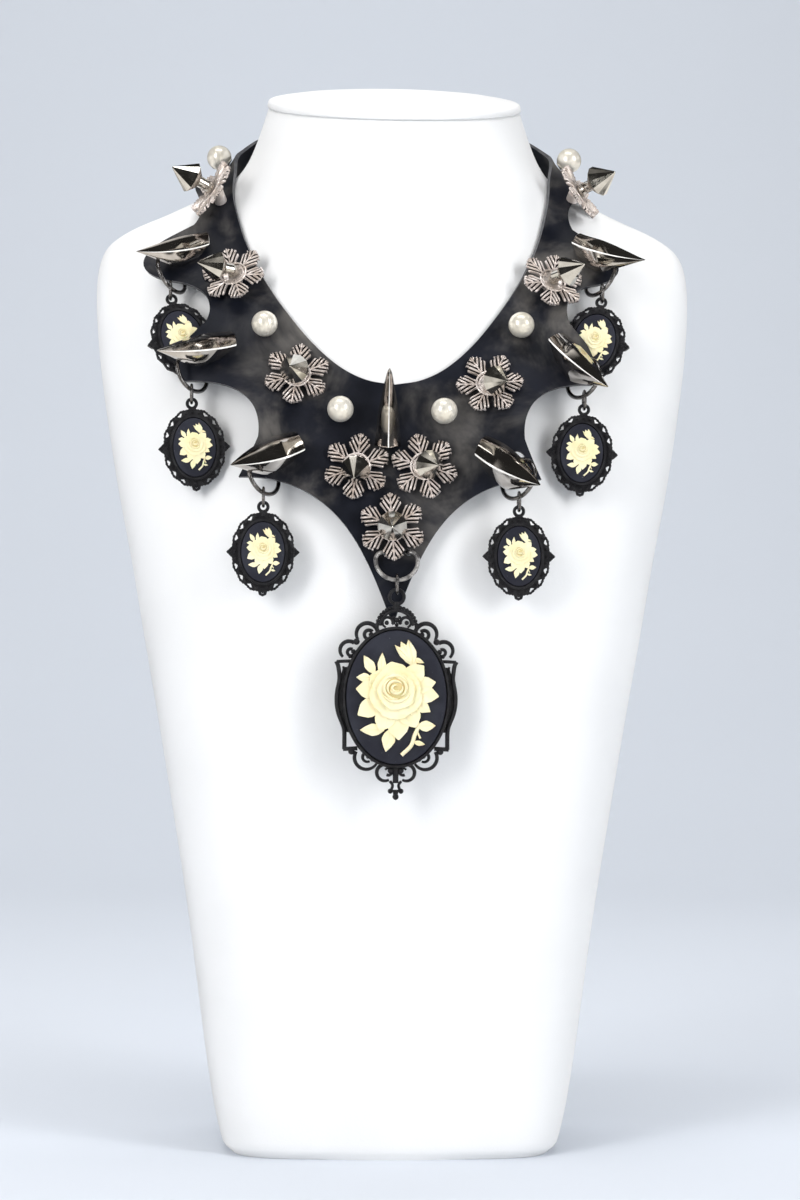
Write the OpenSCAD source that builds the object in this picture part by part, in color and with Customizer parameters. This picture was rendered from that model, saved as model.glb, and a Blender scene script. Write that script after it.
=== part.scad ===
// Cameo pendant necklace on a plain neck bust.
// Millimetres, +Z up. The front faces -Y and the origin is the middle of the bust's flat base.
// A place on the bust is given by an angle and a level: the angle turns about the bust's upright
// axis, 0 at the front and positive towards +X, and the level is a height on the standard bust.

/* [Bust] */
// Width across the shoulders
shoulder_w = 192; // [188:1:196]
// Height of the neck's rim at its sides
neck_h = 336; // [328:1:344]
// Forward slope of the neck's top, in degrees
cap_tilt = 17.5; // [14:0.5:20]

/* [Collar] */
// Thickness of the collar
collar_t = 1.3; // [1:0.1:1.6]
// Angle by which the collar sits off the bust's middle
collar_turn = -2; // [-3:0.5:3]

/* [Rings] */
// Outside width of the large rings
ring_d = 14; // [13:0.5:14.5]
// Wire of the large rings
ring_wire = 1.3; // [1.1:0.1:1.4]
// Outside width of the jump rings
link_d = 6.5; // [6.2:0.1:7]
// Wire of the jump rings
link_wire = 0.9; // [0.7:0.1:0.9]

/* [Studs] */
// Width of a flower
flower_d = 20.5; // [18:0.5:21]
// Thickness of a petal
petal_t = 0.9; // [0.7:0.1:1.2]
// Lift of the petals, in degrees
petal_lift = 7; // [3:1:12]
// Width of a cone stud
spike_d = 9; // [8:0.5:9.5]
// Height of the cone above its widest line
spike_h = 6.4; // [5:0.2:8]
// Width of a pearl
pearl_d = 8; // [7:0.5:8.5]
// Length of a claw
claw_l = 22; // [20:1:24]
// Width of a claw
claw_w = 11; // [9.5:0.5:11.5]

/* [Small pendants] */
// Width of a small cameo
drop_cameo_w = 13; // [12:0.5:13]
// Height of a small cameo
drop_cameo_h = 18; // [17:0.5:18]
// Thickness of a small frame
drop_t = 1.2; // [1:0.1:1.5]

/* [Main pendant] */
// Width of the main cameo
cameo_w = 30; // [29:0.5:30]
// Height of the main cameo
cameo_h = 40; // [39:0.5:40]
// Thickness of the main frame
frame_t = 1.6; // [1.4:0.1:2]

/* [Hidden] */

// Colours, as seen
white = "whitesmoke";
rubber = [0.09, 0.1, 0.13];
gunmetal = [0.42, 0.41, 0.42];
silver = [0.72, 0.7, 0.68];
black_metal = [0.14, 0.14, 0.15];
cream = [1, 0.96, 0.81];
pearl_white = [0.94, 0.93, 0.9];

gap = 0.25;              // clearance between neighbouring pieces
std_w = 192;             // shoulder width of the standard bust that the tables describe
std_h = 336;             // its rim height
cap_from = 300;          // level at which the neck's top starts to slope
blend = 8;               // width of the soft crease between neck and shoulders
across = shoulder_w / std_w;
upward = neck_h / std_h;

// Shoulders and trunk: level, half width, depth to the front, depth to the back, squareness
trunk_rows = [
    [0, 50, 39, 38, 5], [3, 52.7, 41.5, 40.5, 5], [23, 57, 43, 42, 4.6], [75, 64.3, 48, 45, 4],
    [127, 73, 52, 48, 3.4], [160, 79, 53.5, 50, 3.1], [185, 83.5, 53, 51, 2.9],
    [205, 87.5, 50, 51, 2.8], [225, 91, 46, 50, 2.7], [245, 94, 40.5, 48, 2.6],
    [260, 95.5, 35.5, 46, 2.6], [272, 96, 30.5, 43, 2.5], [281, 95, 27, 39, 2.4],
    [287, 92, 25, 36, 2.3], [292, 85, 23.5, 33, 2.2], [297, 74, 22.5, 30, 2.1],
    [303, 62, 22, 27, 2], [310, 50, 21.5, 24, 2], [318, 42, 20, 22, 2], [350, 20, 18, 20, 2]];
// Neck: level, half width, depth to the front, depth to the back
neck_rows = [
    [0, 40, 38, 36], [185, 60, 46, 40], [205, 64, 48, 40], [225, 66, 48.5, 40],
    [245, 65, 47.5, 40], [260, 62, 45.5, 41], [272, 59.5, 43.5, 42], [284, 57, 42, 42],
    [300, 52.5, 39.5, 41], [312, 47.5, 38.5, 40], [325, 43.5, 37.5, 39], [336, 40.5, 37, 38],
    [350, 40, 37, 38]];
neck_square = 2.1;       // squareness of the neck's sections
// Upright axis: level, distance behind the origin
axis_rows = [[0, 0], [200, 0], [245, 2], [290, 5], [350, 5]];

// A soft curve through the rows of a table, read at a value of their first column
function steep(t, k) =
    let (n = len(t) - 1, a = max(k - 1, 0), b = min(k + 1, n)) (t[b] - t[a]) / (t[b][0] - t[a][0]);
function row_of(t, v, k = 0) = k >= len(t) - 2 || v <= t[k + 1][0] ? k : row_of(t, v, k + 1);
function read(t, v) =
    let (k = row_of(t, v), h = t[k + 1][0] - t[k][0], s = min(max((v - t[k][0]) / h, 0), 1),
         s2 = s * s, s3 = s2 * s)
    (2 * s3 - 3 * s2 + 1) * t[k] + (s3 - 2 * s2 + s) * h * steep(t, k)
    + (3 * s2 - 2 * s3) * t[k + 1] + (s3 - s2) * h * steep(t, k + 1);

function clamp01(v) = min(max(v, 0), 1);
function soft(v) = let (t = clamp01(v)) t * t * (3 - 2 * t);
function oval_r(s, c, a, b, n) = pow(pow(abs(s / a), n) + pow(abs(c / b), n), -1 / n);

// Distance of the bust's skin from its axis
function bust_r(angle, level) =
    let (s = sin(angle), c = cos(angle), t = read(trunk_rows, level), n = read(neck_rows, level),
         r1 = oval_r(s, c, t[1], c > 0 ? t[2] : t[3], t[4]),
         r2 = oval_r(s, c, n[1], c > 0 ? n[2] : n[3], neck_square),
         h = max(blend - abs(r1 - r2), 0) / blend)
    max(r1, r2) + h * h * blend / 4;

// A point of the bust's skin, and a point off it
function skin(angle, level) =
    let (r = bust_r(angle, level), y = -r * cos(angle),
         w = soft((level - cap_from) / (std_h - cap_from)))
    [across * r * sin(angle), read(axis_rows, level)[1] + y, upward * (level + y * tan(cap_tilt) * w)];
function unit(v) = v / norm(v);
function skin_out(angle, level) =
    unit(cross(skin(angle + 0.5, level) - skin(angle - 0.5, level),
               skin(angle, level + 0.5) - skin(angle, level - 0.5)));
function off_skin(angle, level, d) = skin(angle, level) + d * skin_out(angle, level);

// Collar: neckline, by angle from the collar's middle and level
neckline_rows = [
    [0, 236.4], [10, 238], [19, 242], [28.7, 249.4], [39, 259.7], [49.5, 271.4], [59, 284],
    [67, 295.3], [76, 306], [90, 314.5], [110, 321.5], [130, 325], [180, 326]];
// Its outer edge: curves between points, each with its steps and the neckline angle that it spans to
edge_arcs = [ // angle and level of start, two pulls and end; steps; neckline angle at the end
    [[0, 163], [7, 180], [16, 206], [43.2, 206], 12, 32],
    [[43.2, 206], [38.6, 215.5], [36.8, 234.5], [58.5, 235.5], 8, 48],
    [[58.5, 235.5], [60.9, 242], [61, 248], [58.6, 252], 4, 53],
    [[58.6, 252], [57, 258], [60.5, 266.5], [67.8, 267.8], 5, 62],
    [[67.8, 267.8], [73.8, 270.7], [75, 279], [71.4, 288], 4, 70],
    [[71.4, 288], [72.5, 297], [80, 303], [100, 306], 5, 100],
    [[100, 306], [125, 307.5], [150, 308], [180, 308], 6, 180]];
lie = 0.75;              // how far the collar lies off the skin at the neckline
stand_mid = 2.4;         // how much more at its lowest point
stand_side = 4.5;        // how much more again at its side points
stand_back = 3.5;        // how much more behind the neck
stand_span = 38;         // drop below the neckline over which it stands off

function stand_off(angle, level) =
    let (a = abs(angle - collar_turn), t = soft((read(neckline_rows, a)[1] - level) / stand_span))
    lie + stand_back * soft((a - 76) / 20)
    + t * (stand_mid + stand_side * soft((a - 15) / 25) * (1 - soft((a - 84) / 16)));
// A point d above the collar's back face
function on_sheet(angle, level, d) = off_skin(angle, level, stand_off(angle, level) + d);
function sheet_out(angle, level) =
    unit(cross(on_sheet(angle + 0.5, level, 0) - on_sheet(angle - 0.5, level, 0),
               on_sheet(angle, level + 0.5, 0) - on_sheet(angle, level - 0.5, 0)));

function bezier(p, t) =
    pow(1 - t, 3) * p[0] + 3 * pow(1 - t, 2) * t * p[1] + 3 * (1 - t) * t * t * p[2] + pow(t, 3) * p[3];

// Rules a closed grid of points: rings of equal length, ends left open
function grid_faces(rings, n, wrap = true) = [
    for (i = [0:rings - 2]) for (j = [0:(wrap ? n - 1 : n - 2)])
        let (k = (j + 1) % n)
        each [[i * n + j, (i + 1) * n + j, (i + 1) * n + k], [i * n + j, (i + 1) * n + k, i * n + k]]];

// Bust
bust_sides = 48;
bust_levels = [0, 0.9, 3, 23, 50, 75, 101, 127, 150, 172, 190, 208, 226, 244, 258, 268, 276, 283,
               288, 292, 296, 300, 305, 311, 319, 328];
lip_rows = [ // level above the neck's rim, inset
    [-3.4, 0], [-2.9, 0.7], [-2.4, -0.5], [-0.7, -0.6], [0, 0.3], [1.6, 8], [2.8, 22]];
// Angles crowd together at the sides, where the shoulders turn
function bust_angle(i) = let (t = 360 * i / bust_sides) t + 17 * sin(2 * t);
function lip_point(angle, row) =
    let (p = skin(angle, std_h + min(row[0], 0)), c = [0, read(axis_rows, std_h)[1], p[2]],
         lean = (p[1] - c[1]) * tan(cap_tilt) * upward, r = norm([p[0], p[1] - c[1]]),
         k = max(r - row[1], 0) / r)
    [p[0] * k, c[1] + (p[1] - c[1]) * k, p[2] - lean * (1 - k) + max(row[0], 0)];

module neck_bust() {
    rings = concat(
        [for (level = bust_levels) [for (i = [0:bust_sides - 1]) skin(bust_angle(i), level)]],
        [for (row = lip_rows) [for (i = [0:bust_sides - 1]) lip_point(bust_angle(i), row)]]);
    n = bust_sides;
    last = (len(rings) - 1) * n;
    points = [for (ring = rings) each ring];
    faces = concat(
        [for (f = grid_faces(len(rings), n)) f],
        [[for (i = [0:n - 1]) i]],
        [for (i = [1:n - 2]) [last, last + i + 1, last + i]]);
    color(white) polyhedron(points, faces, convexity = 6);
}

// Collar: ruled from the neckline to the outer edge, round both sides and joined at the back
edge_starts = [for (k = 0, a = 0; k < len(edge_arcs); a = edge_arcs[k][5], k = k + 1) a];
half_stations = concat( // neckline angle; angle and level of the outer edge
    [for (k = [0:len(edge_arcs) - 1]) let (arc = edge_arcs[k], steps = arc[4], a = edge_starts[k])
        for (i = [0:steps - 1]) let (edge = bezier(arc, i / steps))
            [a + (arc[5] - a) * i / steps, edge[0], edge[1]]],
    [[180, 180, edge_arcs[len(edge_arcs) - 1][3][1]]]);
half_n = len(half_stations) - 1;
stations_n = 2 * half_n;
ruling = [0, 0.25, 0.5, 0.7, 0.82, 0.92, 1];
function collar_point(j, v, d) =
    let (s = half_stations[j <= half_n ? j : stations_n - j], side = j <= half_n ? 1 : -1,
         level = read(neckline_rows, s[0])[1])
    on_sheet(collar_turn + side * (s[0] + (s[1] - s[0]) * v), level + (s[2] - level) * v, d);

// Large rings: angle and level of the hole, yaw, pitch; tilt, turn and lean of the pendant below;
// swing of the ring in its own plane; clearance between the ring and its jump ring
side_rings = [
    [-40.4, 212.3, 45, -25, 0, 0, 0, 0, 0.42], [36, 211.8, -45, -25, 0, 0, 0, 0, 0.42],
    [-60.2, 243.9, 46, -25, -3.7, 6, -1, 0, 0.42], [56.2, 243.1, -46, -25, 2.9, -6, -3, 0, 0.42],
    [-71.7, 275.4, 50, -40, -15, 13, -11.7, 0, 0.9], [68.8, 275.8, -50, -40, 10.5, -10, -12, 0, 0.9]];
ring_r = (ring_d - ring_wire) / 2;
link_r = (link_d - link_wire) / 2;
hole_d = ring_wire + 3.3;
hole_up = 0.7;           // middle of a hole above the wire that hangs in it
prong_x = 3.6;           // half the distance between the prongs of the main ring
main_x = -0.85;
main_z = 182.4 * upward;
main_pitch = 22;
bar_up = 2.85;           // bar of the main ring above the middle of its round part

function seat(angle, level, d = 0) = on_sheet(angle, level, collar_t + gap + d);
// Places children with +Z along z and +X level
module face_to(p, z) {
    x = unit(cross([0, 0, 1], z));
    y = cross(z, x);
    multmatrix([[x[0], y[0], z[0], p[0]], [x[1], y[1], z[1], p[1]], [x[2], y[2], z[2], p[2]], [0, 0, 0, 1]])
        children();
}

module collar() {
    rows = len(ruling);
    ring_n = 2 * rows;
    // Every ring of points goes up the front face and back down the rear face
    points = [for (j = [0:stations_n - 1]) each concat(
        [for (v = ruling) collar_point(j, v, collar_t)],
        [for (i = [1:rows]) collar_point(j, ruling[rows - i], 0)])];
    faces = [for (j = [0:stations_n - 1]) for (i = [0:ring_n - 1])
        let (a = j * ring_n, b = ((j + 1) % stations_n) * ring_n, k = (i + 1) % ring_n)
        each [[a + i, b + i, b + k], [a + i, b + k, a + k]]];
    color(rubber) difference() {
        polyhedron(points, faces, convexity = 10);
        for (r = side_rings) face_to(on_sheet(r[0], r[1] + hole_up, collar_t / 2), sheet_out(r[0], r[1]))
            cylinder(h = 8, d = hole_d, center = true, $fn = 10);
        for (side = [-1, 1])
            translate([main_x + side * prong_x, -57 * across, main_z + bar_up * cos(main_pitch)])
                rotate([90, 0, 0]) cylinder(h = 8, d = ring_wire + 0.8, center = true, $fn = 8);
    }
}

// Plain press stud that closes the collar behind the neck
module clasp() {
    color(gunmetal) face_to(seat(180, 315), sheet_out(180, 315)) {
        cylinder(h = 1.6, d = 12);
        cylinder(h = 2.8, d = 8);
    }
}

// Claws: angle and level of the base's middle, direction in the face of the collar, length and
// width against the standard claw, lift of the tip, height at the base, sideways lean of the
// ridge, slant of the base's cut, 1 for a slim claw
claws = [
    [-4, 217.1, 89.2, 1, 0.86, 8.5, 8.3, 0, 0, 1], [-34.1, 214.9, 204, 0.9, 0.95, 9.6, 9.6, 0.5, 0.8, 0],
    [28.4, 213.3, -35, 0.86, 1.04, 8, 9.2, -0.45, -0.95, 0],
    [-54.6, 246.4, 198.3, 0.94, 0.98, 7.4, 9, 0.75, 0.8, 0],
    [52, 246, -56, 0.93, 0.96, 7.6, 9.2, -0.66, -1, 0],
    [-69.66, 281.22, 210, 1.014, 0.939, 9.56, 4.2, 0.99, 0.98, 0],
    [68.07, 281.71, -41, 1.097, 1.03, 12.8, 5.2, -0.75, -0.84, 0]];
claw_rake = 0.4;         // lean of the ridge back over the base
// Widths along a claw: place, full claw, slim claw
claw_widths = [[0, 0.84, 0.87], [0.12, 0.92, 0.8], [0.3, 1, 0.72], [0.45, 0.93, 0.65], [0.6, 0.76, 0.53],
               [0.75, 0.52, 0.38], [0.88, 0.27, 0.26], [0.96, 0.11, 0.15], [1, 0.03, 0.04]];
claw_section = [[0, 1], [0.35, 0.78], [0.75, 0.42], [1, 0.08], [0.82, 0], [0.5, 0.42], [0, 0.68],
                [-0.5, 0.42], [-0.82, 0], [-1, 0.08], [-0.75, 0.42], [-0.35, 0.78]];
module claw(l, w, lift, h, lean, slant, slim) {
    n = len(claw_section);
    points = [for (row = claw_widths) let (s = row[0], k = row[1] + slim * (row[2] - row[1]))
        for (q = claw_section) let (y = q[0] * w / 2 * k, z = q[1] * h * k)
            [l * s + (slant * y - claw_rake * z) * (1 - s), y + lean * z, lift * pow(s, 1.6) + z]];
    last = (len(claw_widths) - 1) * n;
    polyhedron(points, concat([for (f = grid_faces(len(claw_widths), n)) [f[0], f[2], f[1]]],
        [[for (i = [0:n - 1]) n - 1 - i]], [[for (i = [0:n - 1]) last + i]]), convexity = 4);
}
module claw_at(i) {
    c = claws[i - 1];
    color(gunmetal) face_to(seat(c[0], c[1]), sheet_out(c[0], c[1])) rotate([0, 0, c[2]])
        claw(claw_l * c[3], claw_w * c[4], c[5], c[6] * claw_w / 11, c[7], c[8], c[9]);
}

// Flowers: angle, level, lift, extra lean outward, turn of the petals
flowers = [
    [-74.4, 297.7, 4.5, 40, 10], [76.4, 299.6, 2.3, -40, -10], [-58.7, 269.8, 2, 14, 45],
    [55.4, 268.6, 2, -14, 20], [-34.3, 238.3, 0.25, 4, 20], [30.3, 235.9, 0.25, -4, 6],
    [-14.2, 210.2, 0, 0, 23], [8.2, 210.5, 0, 0, 44], [-2.5, 191.9, 0.65, 0, 34]];
petal_rows = [[2.5, 1.3], [4, 1.7], [5.4, 2.3], [6.8, 2.9], [8, 3.1], [9, 2.7], [9.8, 1.7], [10.25, 0.6]];
hub_h = 1.4;
module in_flower(i) {
    f = flowers[i - 1];
    face_to(seat(f[0], f[1], f[2]), sheet_out(f[0], f[1])) rotate([0, -f[3], 0]) children();
}
module flower(turn) {
    k = flower_d / 20.5;
    cylinder(h = hub_h, r = 3.6 * k, $fn = 12);
    for (i = [0:5]) rotate([0, 0, turn + 60 * i]) rotate([0, -petal_lift, 0]) linear_extrude(petal_t)
        polygon(concat([for (q = petal_rows) [q[0], -q[1]] * k],
            [for (i = [1:len(petal_rows)]) let (q = petal_rows[len(petal_rows) - i]) [q[0], q[1]] * k]));
}
module flower_at(i) {
    f = flowers[i - 1];
    color(silver) {
        in_flower(i) flower(f[4]);
        if (f[2] > 1)
            face_to(seat(f[0], f[1]), sheet_out(f[0], f[1])) cylinder(h = f[2] + 0.5, r = 2, $fn = 12);
    }
}

// Cone studs, each on the hub of its flower: side it leans to, lean, added neck, size
studs = [
    [251, 5, 3.2, 1.12], [241, 20, 3.2, 1.12], [192, 49, 3, 1.05], [343, 32, 3, 1.05], [240, 24, 2, 1],
    [320, 42, 2, 1], [264, 40, 2, 1], [321, 26, 2, 1], [258, 13, 0.5, 1]];
knee = 1.9;              // height of the bend above the hub
module spike(side, lean, neck) {
    base = spike_d / 2;
    cylinder(h = knee, r = base * 0.36, $fn = 12);
    translate([0, 0, knee]) rotate([0, 0, side]) rotate([0, lean, 0]) {
        translate([0, 0, -0.6]) cylinder(h = neck + 1, r = base * 0.36, $fn = 12);
        translate([0, 0, neck - 0.5]) cylinder(h = 2, r1 = base * 0.5, r2 = base, $fn = 12);
        translate([0, 0, neck + 1.5]) cylinder(h = spike_h, r1 = base, r2 = 0.25, $fn = 12);
    }
}
module spike_at(i) {
    t = studs[i - 1];
    color(gunmetal) in_flower(i) translate([0, 0, hub_h + gap]) scale(t[3]) spike(t[0], t[1], t[2]);
}

// Pearls: angle, level
pearls = [[-95, 311.5], [91, 311], [-45.8, 252.8], [42.3, 253.4], [-20, 227.1], [15.1, 226.9]];
module pearl_at(i) {
    p = pearls[i - 1];
    color(pearl_white) face_to(seat(p[0], p[1], 0.35), sheet_out(p[0], p[1])) {
        cylinder(h = 1.2, d = pearl_d * 0.55);
        translate([0, 0, pearl_d * 0.45]) sphere(d = pearl_d);
    }
}

// Rings and jump rings
module wire_ring(r, wire) { rotate_extrude() translate([r, 0]) circle(d = wire); }
function turned(v, pitch, yaw) = // v turned about Z by the yaw, then about X by the pitch
    let (w = [v[0] * cos(yaw) - v[1] * sin(yaw), v[0] * sin(yaw) + v[1] * cos(yaw), v[2]])
    [w[0], w[1] * cos(pitch) - w[2] * sin(pitch), w[1] * sin(pitch) + w[2] * cos(pitch)];
link_gap = 0.3;         // clearance where a small pendant hangs
eye_r = 1.4;
eye_wire = 1;
function ring_top(r) = on_sheet(r[0], r[1], collar_t / 2);
function ring_middle(r) = ring_top(r) + turned(ring_r * [sin(r[7]), 0, -cos(r[7])], r[3], r[2]);
function link_middle(r) = ring_middle(r) + turned([0, 0, -ring_r], r[3], r[2])
    + [0, 0, (ring_wire + link_wire) / 2 + r[8] - link_r];
function eye_top(r) = link_middle(r) + [0, 0, (link_wire + eye_wire) / 2 + link_gap - link_r];

module links_at(i) {
    r = side_rings[i - 1];
    color(gunmetal) {
        translate(ring_middle(r)) rotate([r[3], 0, 0]) rotate([0, 0, r[2]]) rotate([90, 0, 0])
            wire_ring(ring_r, ring_wire);
        translate(link_middle(r)) rotate([0, 90, 0]) wire_ring(link_r, link_wire);
    }
}

// Closed wire through points in space; the wire's flat sides follow a given direction
module bent_wire(path, wire, flat, n) {
    m = len(path);
    points = [for (i = [0:m - 1])
        let (t = unit(path[(i + 1) % m] - path[(i + m - 1) % m]), u = unit(cross(t, flat)), w = cross(u, t))
        for (k = [0:n - 1]) path[i] + wire / 2 * (cos(360 * k / n) * u + sin(360 * k / n) * w)];
    faces = [for (i = [0:m - 1]) for (k = [0:n - 1])
        let (a = i * n, b = ((i + 1) % m) * n, l = (k + 1) % n)
        each [[a + k, a + l, b + l], [a + k, b + l, b + k]]];
    polyhedron(points, faces, convexity = 8);
}

// Main ring: round below, its top bent back through the collar and closed behind it
front_y = on_sheet(collar_turn, 185, collar_t)[1] - ring_wire / 2 - gap;
bend_rows = [ // across, up from the middle of the round part, back
    [6.35, 0.7, 0], [6.05, 1.6, 0], [5.45, 2.35, 0], [4.6, 2.75, 0.1], [3.95, 2.85, 0.4], [3.65, 2.85, 1.1],
    [3.6, 2.85, 2.1], [3.45, 2.85, 2.9], [2.9, 2.85, 3.35], [1.8, 2.85, 3.4]];
function main_at(x, up, back) =
    [main_x + x, front_y - (bar_up - up) * sin(main_pitch) + back, main_z + up * cos(main_pitch)];
main_bottom = main_at(0, -ring_r, 0);
module main_ring() {
    k = ring_r / 6.35;
    path = concat(
        [for (a = [180:15:360]) main_at(ring_r * cos(a), ring_r * sin(a), 0)],
        [for (q = bend_rows) main_at(q[0] * (q[2] > 0.3 ? 1 : k), q[1], q[2])],
        [for (i = [1:len(bend_rows)]) let (q = bend_rows[len(bend_rows) - i])
            main_at(-q[0] * (q[2] > 0.3 ? 1 : k), q[1], q[2])]);
    color(gunmetal) bent_wire(path, ring_wire, [0, cos(main_pitch), -sin(main_pitch)], 8);
}
play = 0.35;             // clearance where the main pendant swings
main_link_middle = main_bottom + [0, 0, (ring_wire + link_wire) / 2 + play - link_r];
main_eye_r = 2.2;
main_eye_top = main_link_middle + [0, 0, (link_wire + eye_wire) / 2 + play - link_r];
module main_link() {
    color(gunmetal) translate(main_link_middle) rotate([0, 90, 0]) wire_ring(link_r, link_wire);
}

// Ovals and ornaments in outline
function oval(a, b, n) = [for (i = [0:n - 1]) [a * cos(360 * i / n), b * sin(360 * i / n)]];
function band(p, w) = // a bar of width w along points
    let (n = len(p) - 1, side = [for (i = [0:n])
        let (t = unit(p[min(i + 1, n)] - p[max(i - 1, 0)])) [-t[1], t[0]] * w / 2])
    concat([for (i = [0:n]) p[i] + side[i]], [for (i = [0:n]) p[n - i] - side[n - i]]);
function arc(c, r, a0, a1, n = 10) =
    [for (i = [0:n]) let (a = a0 + (a1 - a0) * i / n) c + r * [cos(a), sin(a)]];
module scroll(c, r, a0, a1, w) { polygon(band(arc(c, r - w / 2, a0, a1), w)); }
module bead(c, r) { translate(c) circle(r = r, $fn = 8); }
module both_sides() {
    children();
    mirror([1, 0, 0]) children();
}

// Main pendant, drawn flat with its front up, the middle of its oval at the origin
rail = [[-18, 10.7], [-17.4, 9.2], [-17, 6], [-17.2, 4], [-17.6, 2], [-17.8, -0.2], [-17.7, -2.6],
        [-17.2, -5], [-16.3, -7.3], [-15.5, -9.7], [-15.4, -12.8], [-15.4, -15.6]];
eye_up = 30.1;           // eye above the middle of the oval
floor_t = 0.8;
module main_lace() {
    both_sides() {
        polygon(band(rail, 1.3));
        polygon(band([[-17.9, 10.6], [-13.6, 10.8]], 1));
        polygon(band([[-15.8, -15.5], [-11.5, -15.3]], 1.3));
        bead([-13.3, -16.2], 1);
        scroll([-14.2, 14], 3.3, 55, 228, 1.2);
        scroll([-13.7, 13.4], 1.5, 60, 330, 1);
        bead([-12, 16.6], 1);
        scroll([-8.8, 18.9], 3.9, 5, 212, 1.3);
        scroll([-8.3, 18.7], 1.9, 40, 330, 1.1);
        scroll([-8.8, -18], 4.1, 150, 330, 1.1);
        scroll([-8.5, -17.9], 1.9, 20, 300, 1);
        scroll([-3.2, -22.5], 3, 110, 300, 1.1);
        scroll([-2.2, -22.2], 1.5, -120, 150, 0.9);
        scroll([-2.7, 22.4], 2, -20, 250, 0.9);
        bead([-1.6, -28], 0.7);
        polygon(band([[-1.7, -25], [-0.9, -26.3], [-1.4, -28]], 0.9));
    }
    scroll([0, 21], 5.6, 5, 175, 1.1);
    for (a = [12:13:168]) bead([0, 21] + 5.9 * [cos(a), sin(a)], 0.6);
    bead([0, 23.1], 0.9);
    polygon([[-1.6, -20.6], [1.6, -20.6], [0.8, -23], [0.9, -25.4], [-0.9, -25.4], [-0.8, -23]]);
    polygon([[-1.5, -27.7], [1.5, -27.7], [0.8, -29], [-0.8, -29]]);
    bead([0, -29.7], 0.95);
    polygon([[-3.5, 20.4], [3.5, 20.4], [1.6, 23], [-1.6, 23]]);
    polygon([[-1.1, 26], [1.1, 26], [1, 28.4], [-1, 28.4]]);
}
module main_frame_flat() {
    wall = oval(cameo_w / 2 + 1.2, cameo_h / 2 + 1.2, 48);
    bed = oval(cameo_w / 2 + gap, cameo_h / 2 + gap, 48);
    linear_extrude(frame_t) difference() {
        main_lace();
        polygon(bed);
    }
    linear_extrude(floor_t) polygon(wall);
    linear_extrude(floor_t) intersection() {
        polygon(oval(17.3, 24, 32));
        translate([0, -0.75]) square([40, 19.5], center = true);
    }
    linear_extrude(floor_t + 2.1) difference() {
        polygon(wall);
        polygon(bed);
    }
    translate([0, eye_up, frame_t / 2]) wire_ring(main_eye_r, eye_wire);
}
module in_main() {
    translate(main_eye_top + [0, frame_t / 2, -main_eye_r - eye_up]) rotate([90, 0, 0]) children();
}
module main_frame() { color(black_metal) in_main() main_frame_flat(); }
cameo_z = floor_t + gap;
module main_cameo() {
    color(rubber) in_main() translate([0, 0, cameo_z]) linear_extrude(1.7)
        polygon(oval(cameo_w / 2, cameo_h / 2, 48));
}

// Rose: direction, reach and half width of petals and leaves, from the middle of the bloom
outer_petals = [
    [100, 8.6, 4.6], [42, 11, 3.2], [12, 12, 2.6], [-8, 12.8, 2.8], [-32, 12, 2.2], [-62, 12.5, 3.6],
    [-87, 14.8, 3.6], [-112, 13, 3.4], [-147, 13.6, 3.2], [178, 12, 3], [150, 9, 4]];
inner_petals = [[75, 6.6, 4], [15, 6.4, 4], [-40, 6.6, 4], [-95, 6.8, 4], [-150, 6.4, 4], [140, 6.4, 4]];
leaves = [ // foot, tip, half width
    [[-6.6, 7], [-9.8, 12.4], 1.6], [[-4.6, 6.6], [-4.3, 13.3], 1.3], [[-7.6, 5.8], [-12, 5.9], 1.4],
    [[-3.6, -9.6], [-10.8, -9.8], 1.9], [[-1.6, -9.4], [-3.1, -16.2], 2.1], [[6.4, -8.6], [11.7, -8.4], 1.7],
    [[4.8, 9.6], [1.8, 17.2], 2.1], [[2.6, 13], [-1, 15.3], 0.9], [[4.9, 11.6], [8.2, 10.3], 0.9],
    [[5.2, -13.3], [8.6, -14], 0.9]];
stem = [[3.5, -4], [6.4, -8], [5.4, -11.5], [4.4, -14.4], [1.6, -17.2]];
stalk = [[3.2, 6], [5.6, 8.6], [4.6, 12]];
function petal(d, reach, w) =
    [for (q = [[1, -0.7], [0.45 * reach, -w], [0.8 * reach, -w * 0.8], [reach, -0.15],
               [0.93 * reach, w * 0.35], [0.8 * reach, w * 0.85], [0.45 * reach, w], [1, 0.7]])
        [q[0] * cos(d) - q[1] * sin(d), q[0] * sin(d) + q[1] * cos(d)]];
function leaf(foot, tip, w) =
    let (u = tip - foot, t = [-u[1], u[0]] / norm(u))
    [for (q = [[0, 0.15], [0.25, 0.75], [0.5, 1], [0.8, 0.5], [1, 0.05], [0.8, -0.5], [0.5, -1],
               [0.25, -0.75], [0, -0.15]]) foot + u * q[0] + t * w * q[1]];
bloom = [-0.1, 2.1];
module rose() {
    linear_extrude(1) {
        for (f = leaves) polygon(leaf(f[0], f[1], f[2]));
        polygon(band(stem, 1.3));
        polygon(band(stalk, 1.2));
    }
    translate(bloom) {
        linear_extrude(1.3) {
            for (p = outer_petals) polygon(petal(p[0], p[1], p[2]));
            circle(r = 5, $fn = 12);
        }
        linear_extrude(2.1) {
            for (p = inner_petals) polygon(petal(p[0], p[1], p[2]));
            circle(r = 3, $fn = 12);
        }
        linear_extrude(2.8) translate([-0.2, 1.2]) circle(r = 3.4, $fn = 7);
        linear_extrude(3.2) translate([-0.3, 1.9]) circle(r = 1.7, $fn = 5);
    }
}
module main_rose() { color(cream) in_main() translate([0, 0, cameo_z + 1.7 + 0.15]) rose(); }

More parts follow.
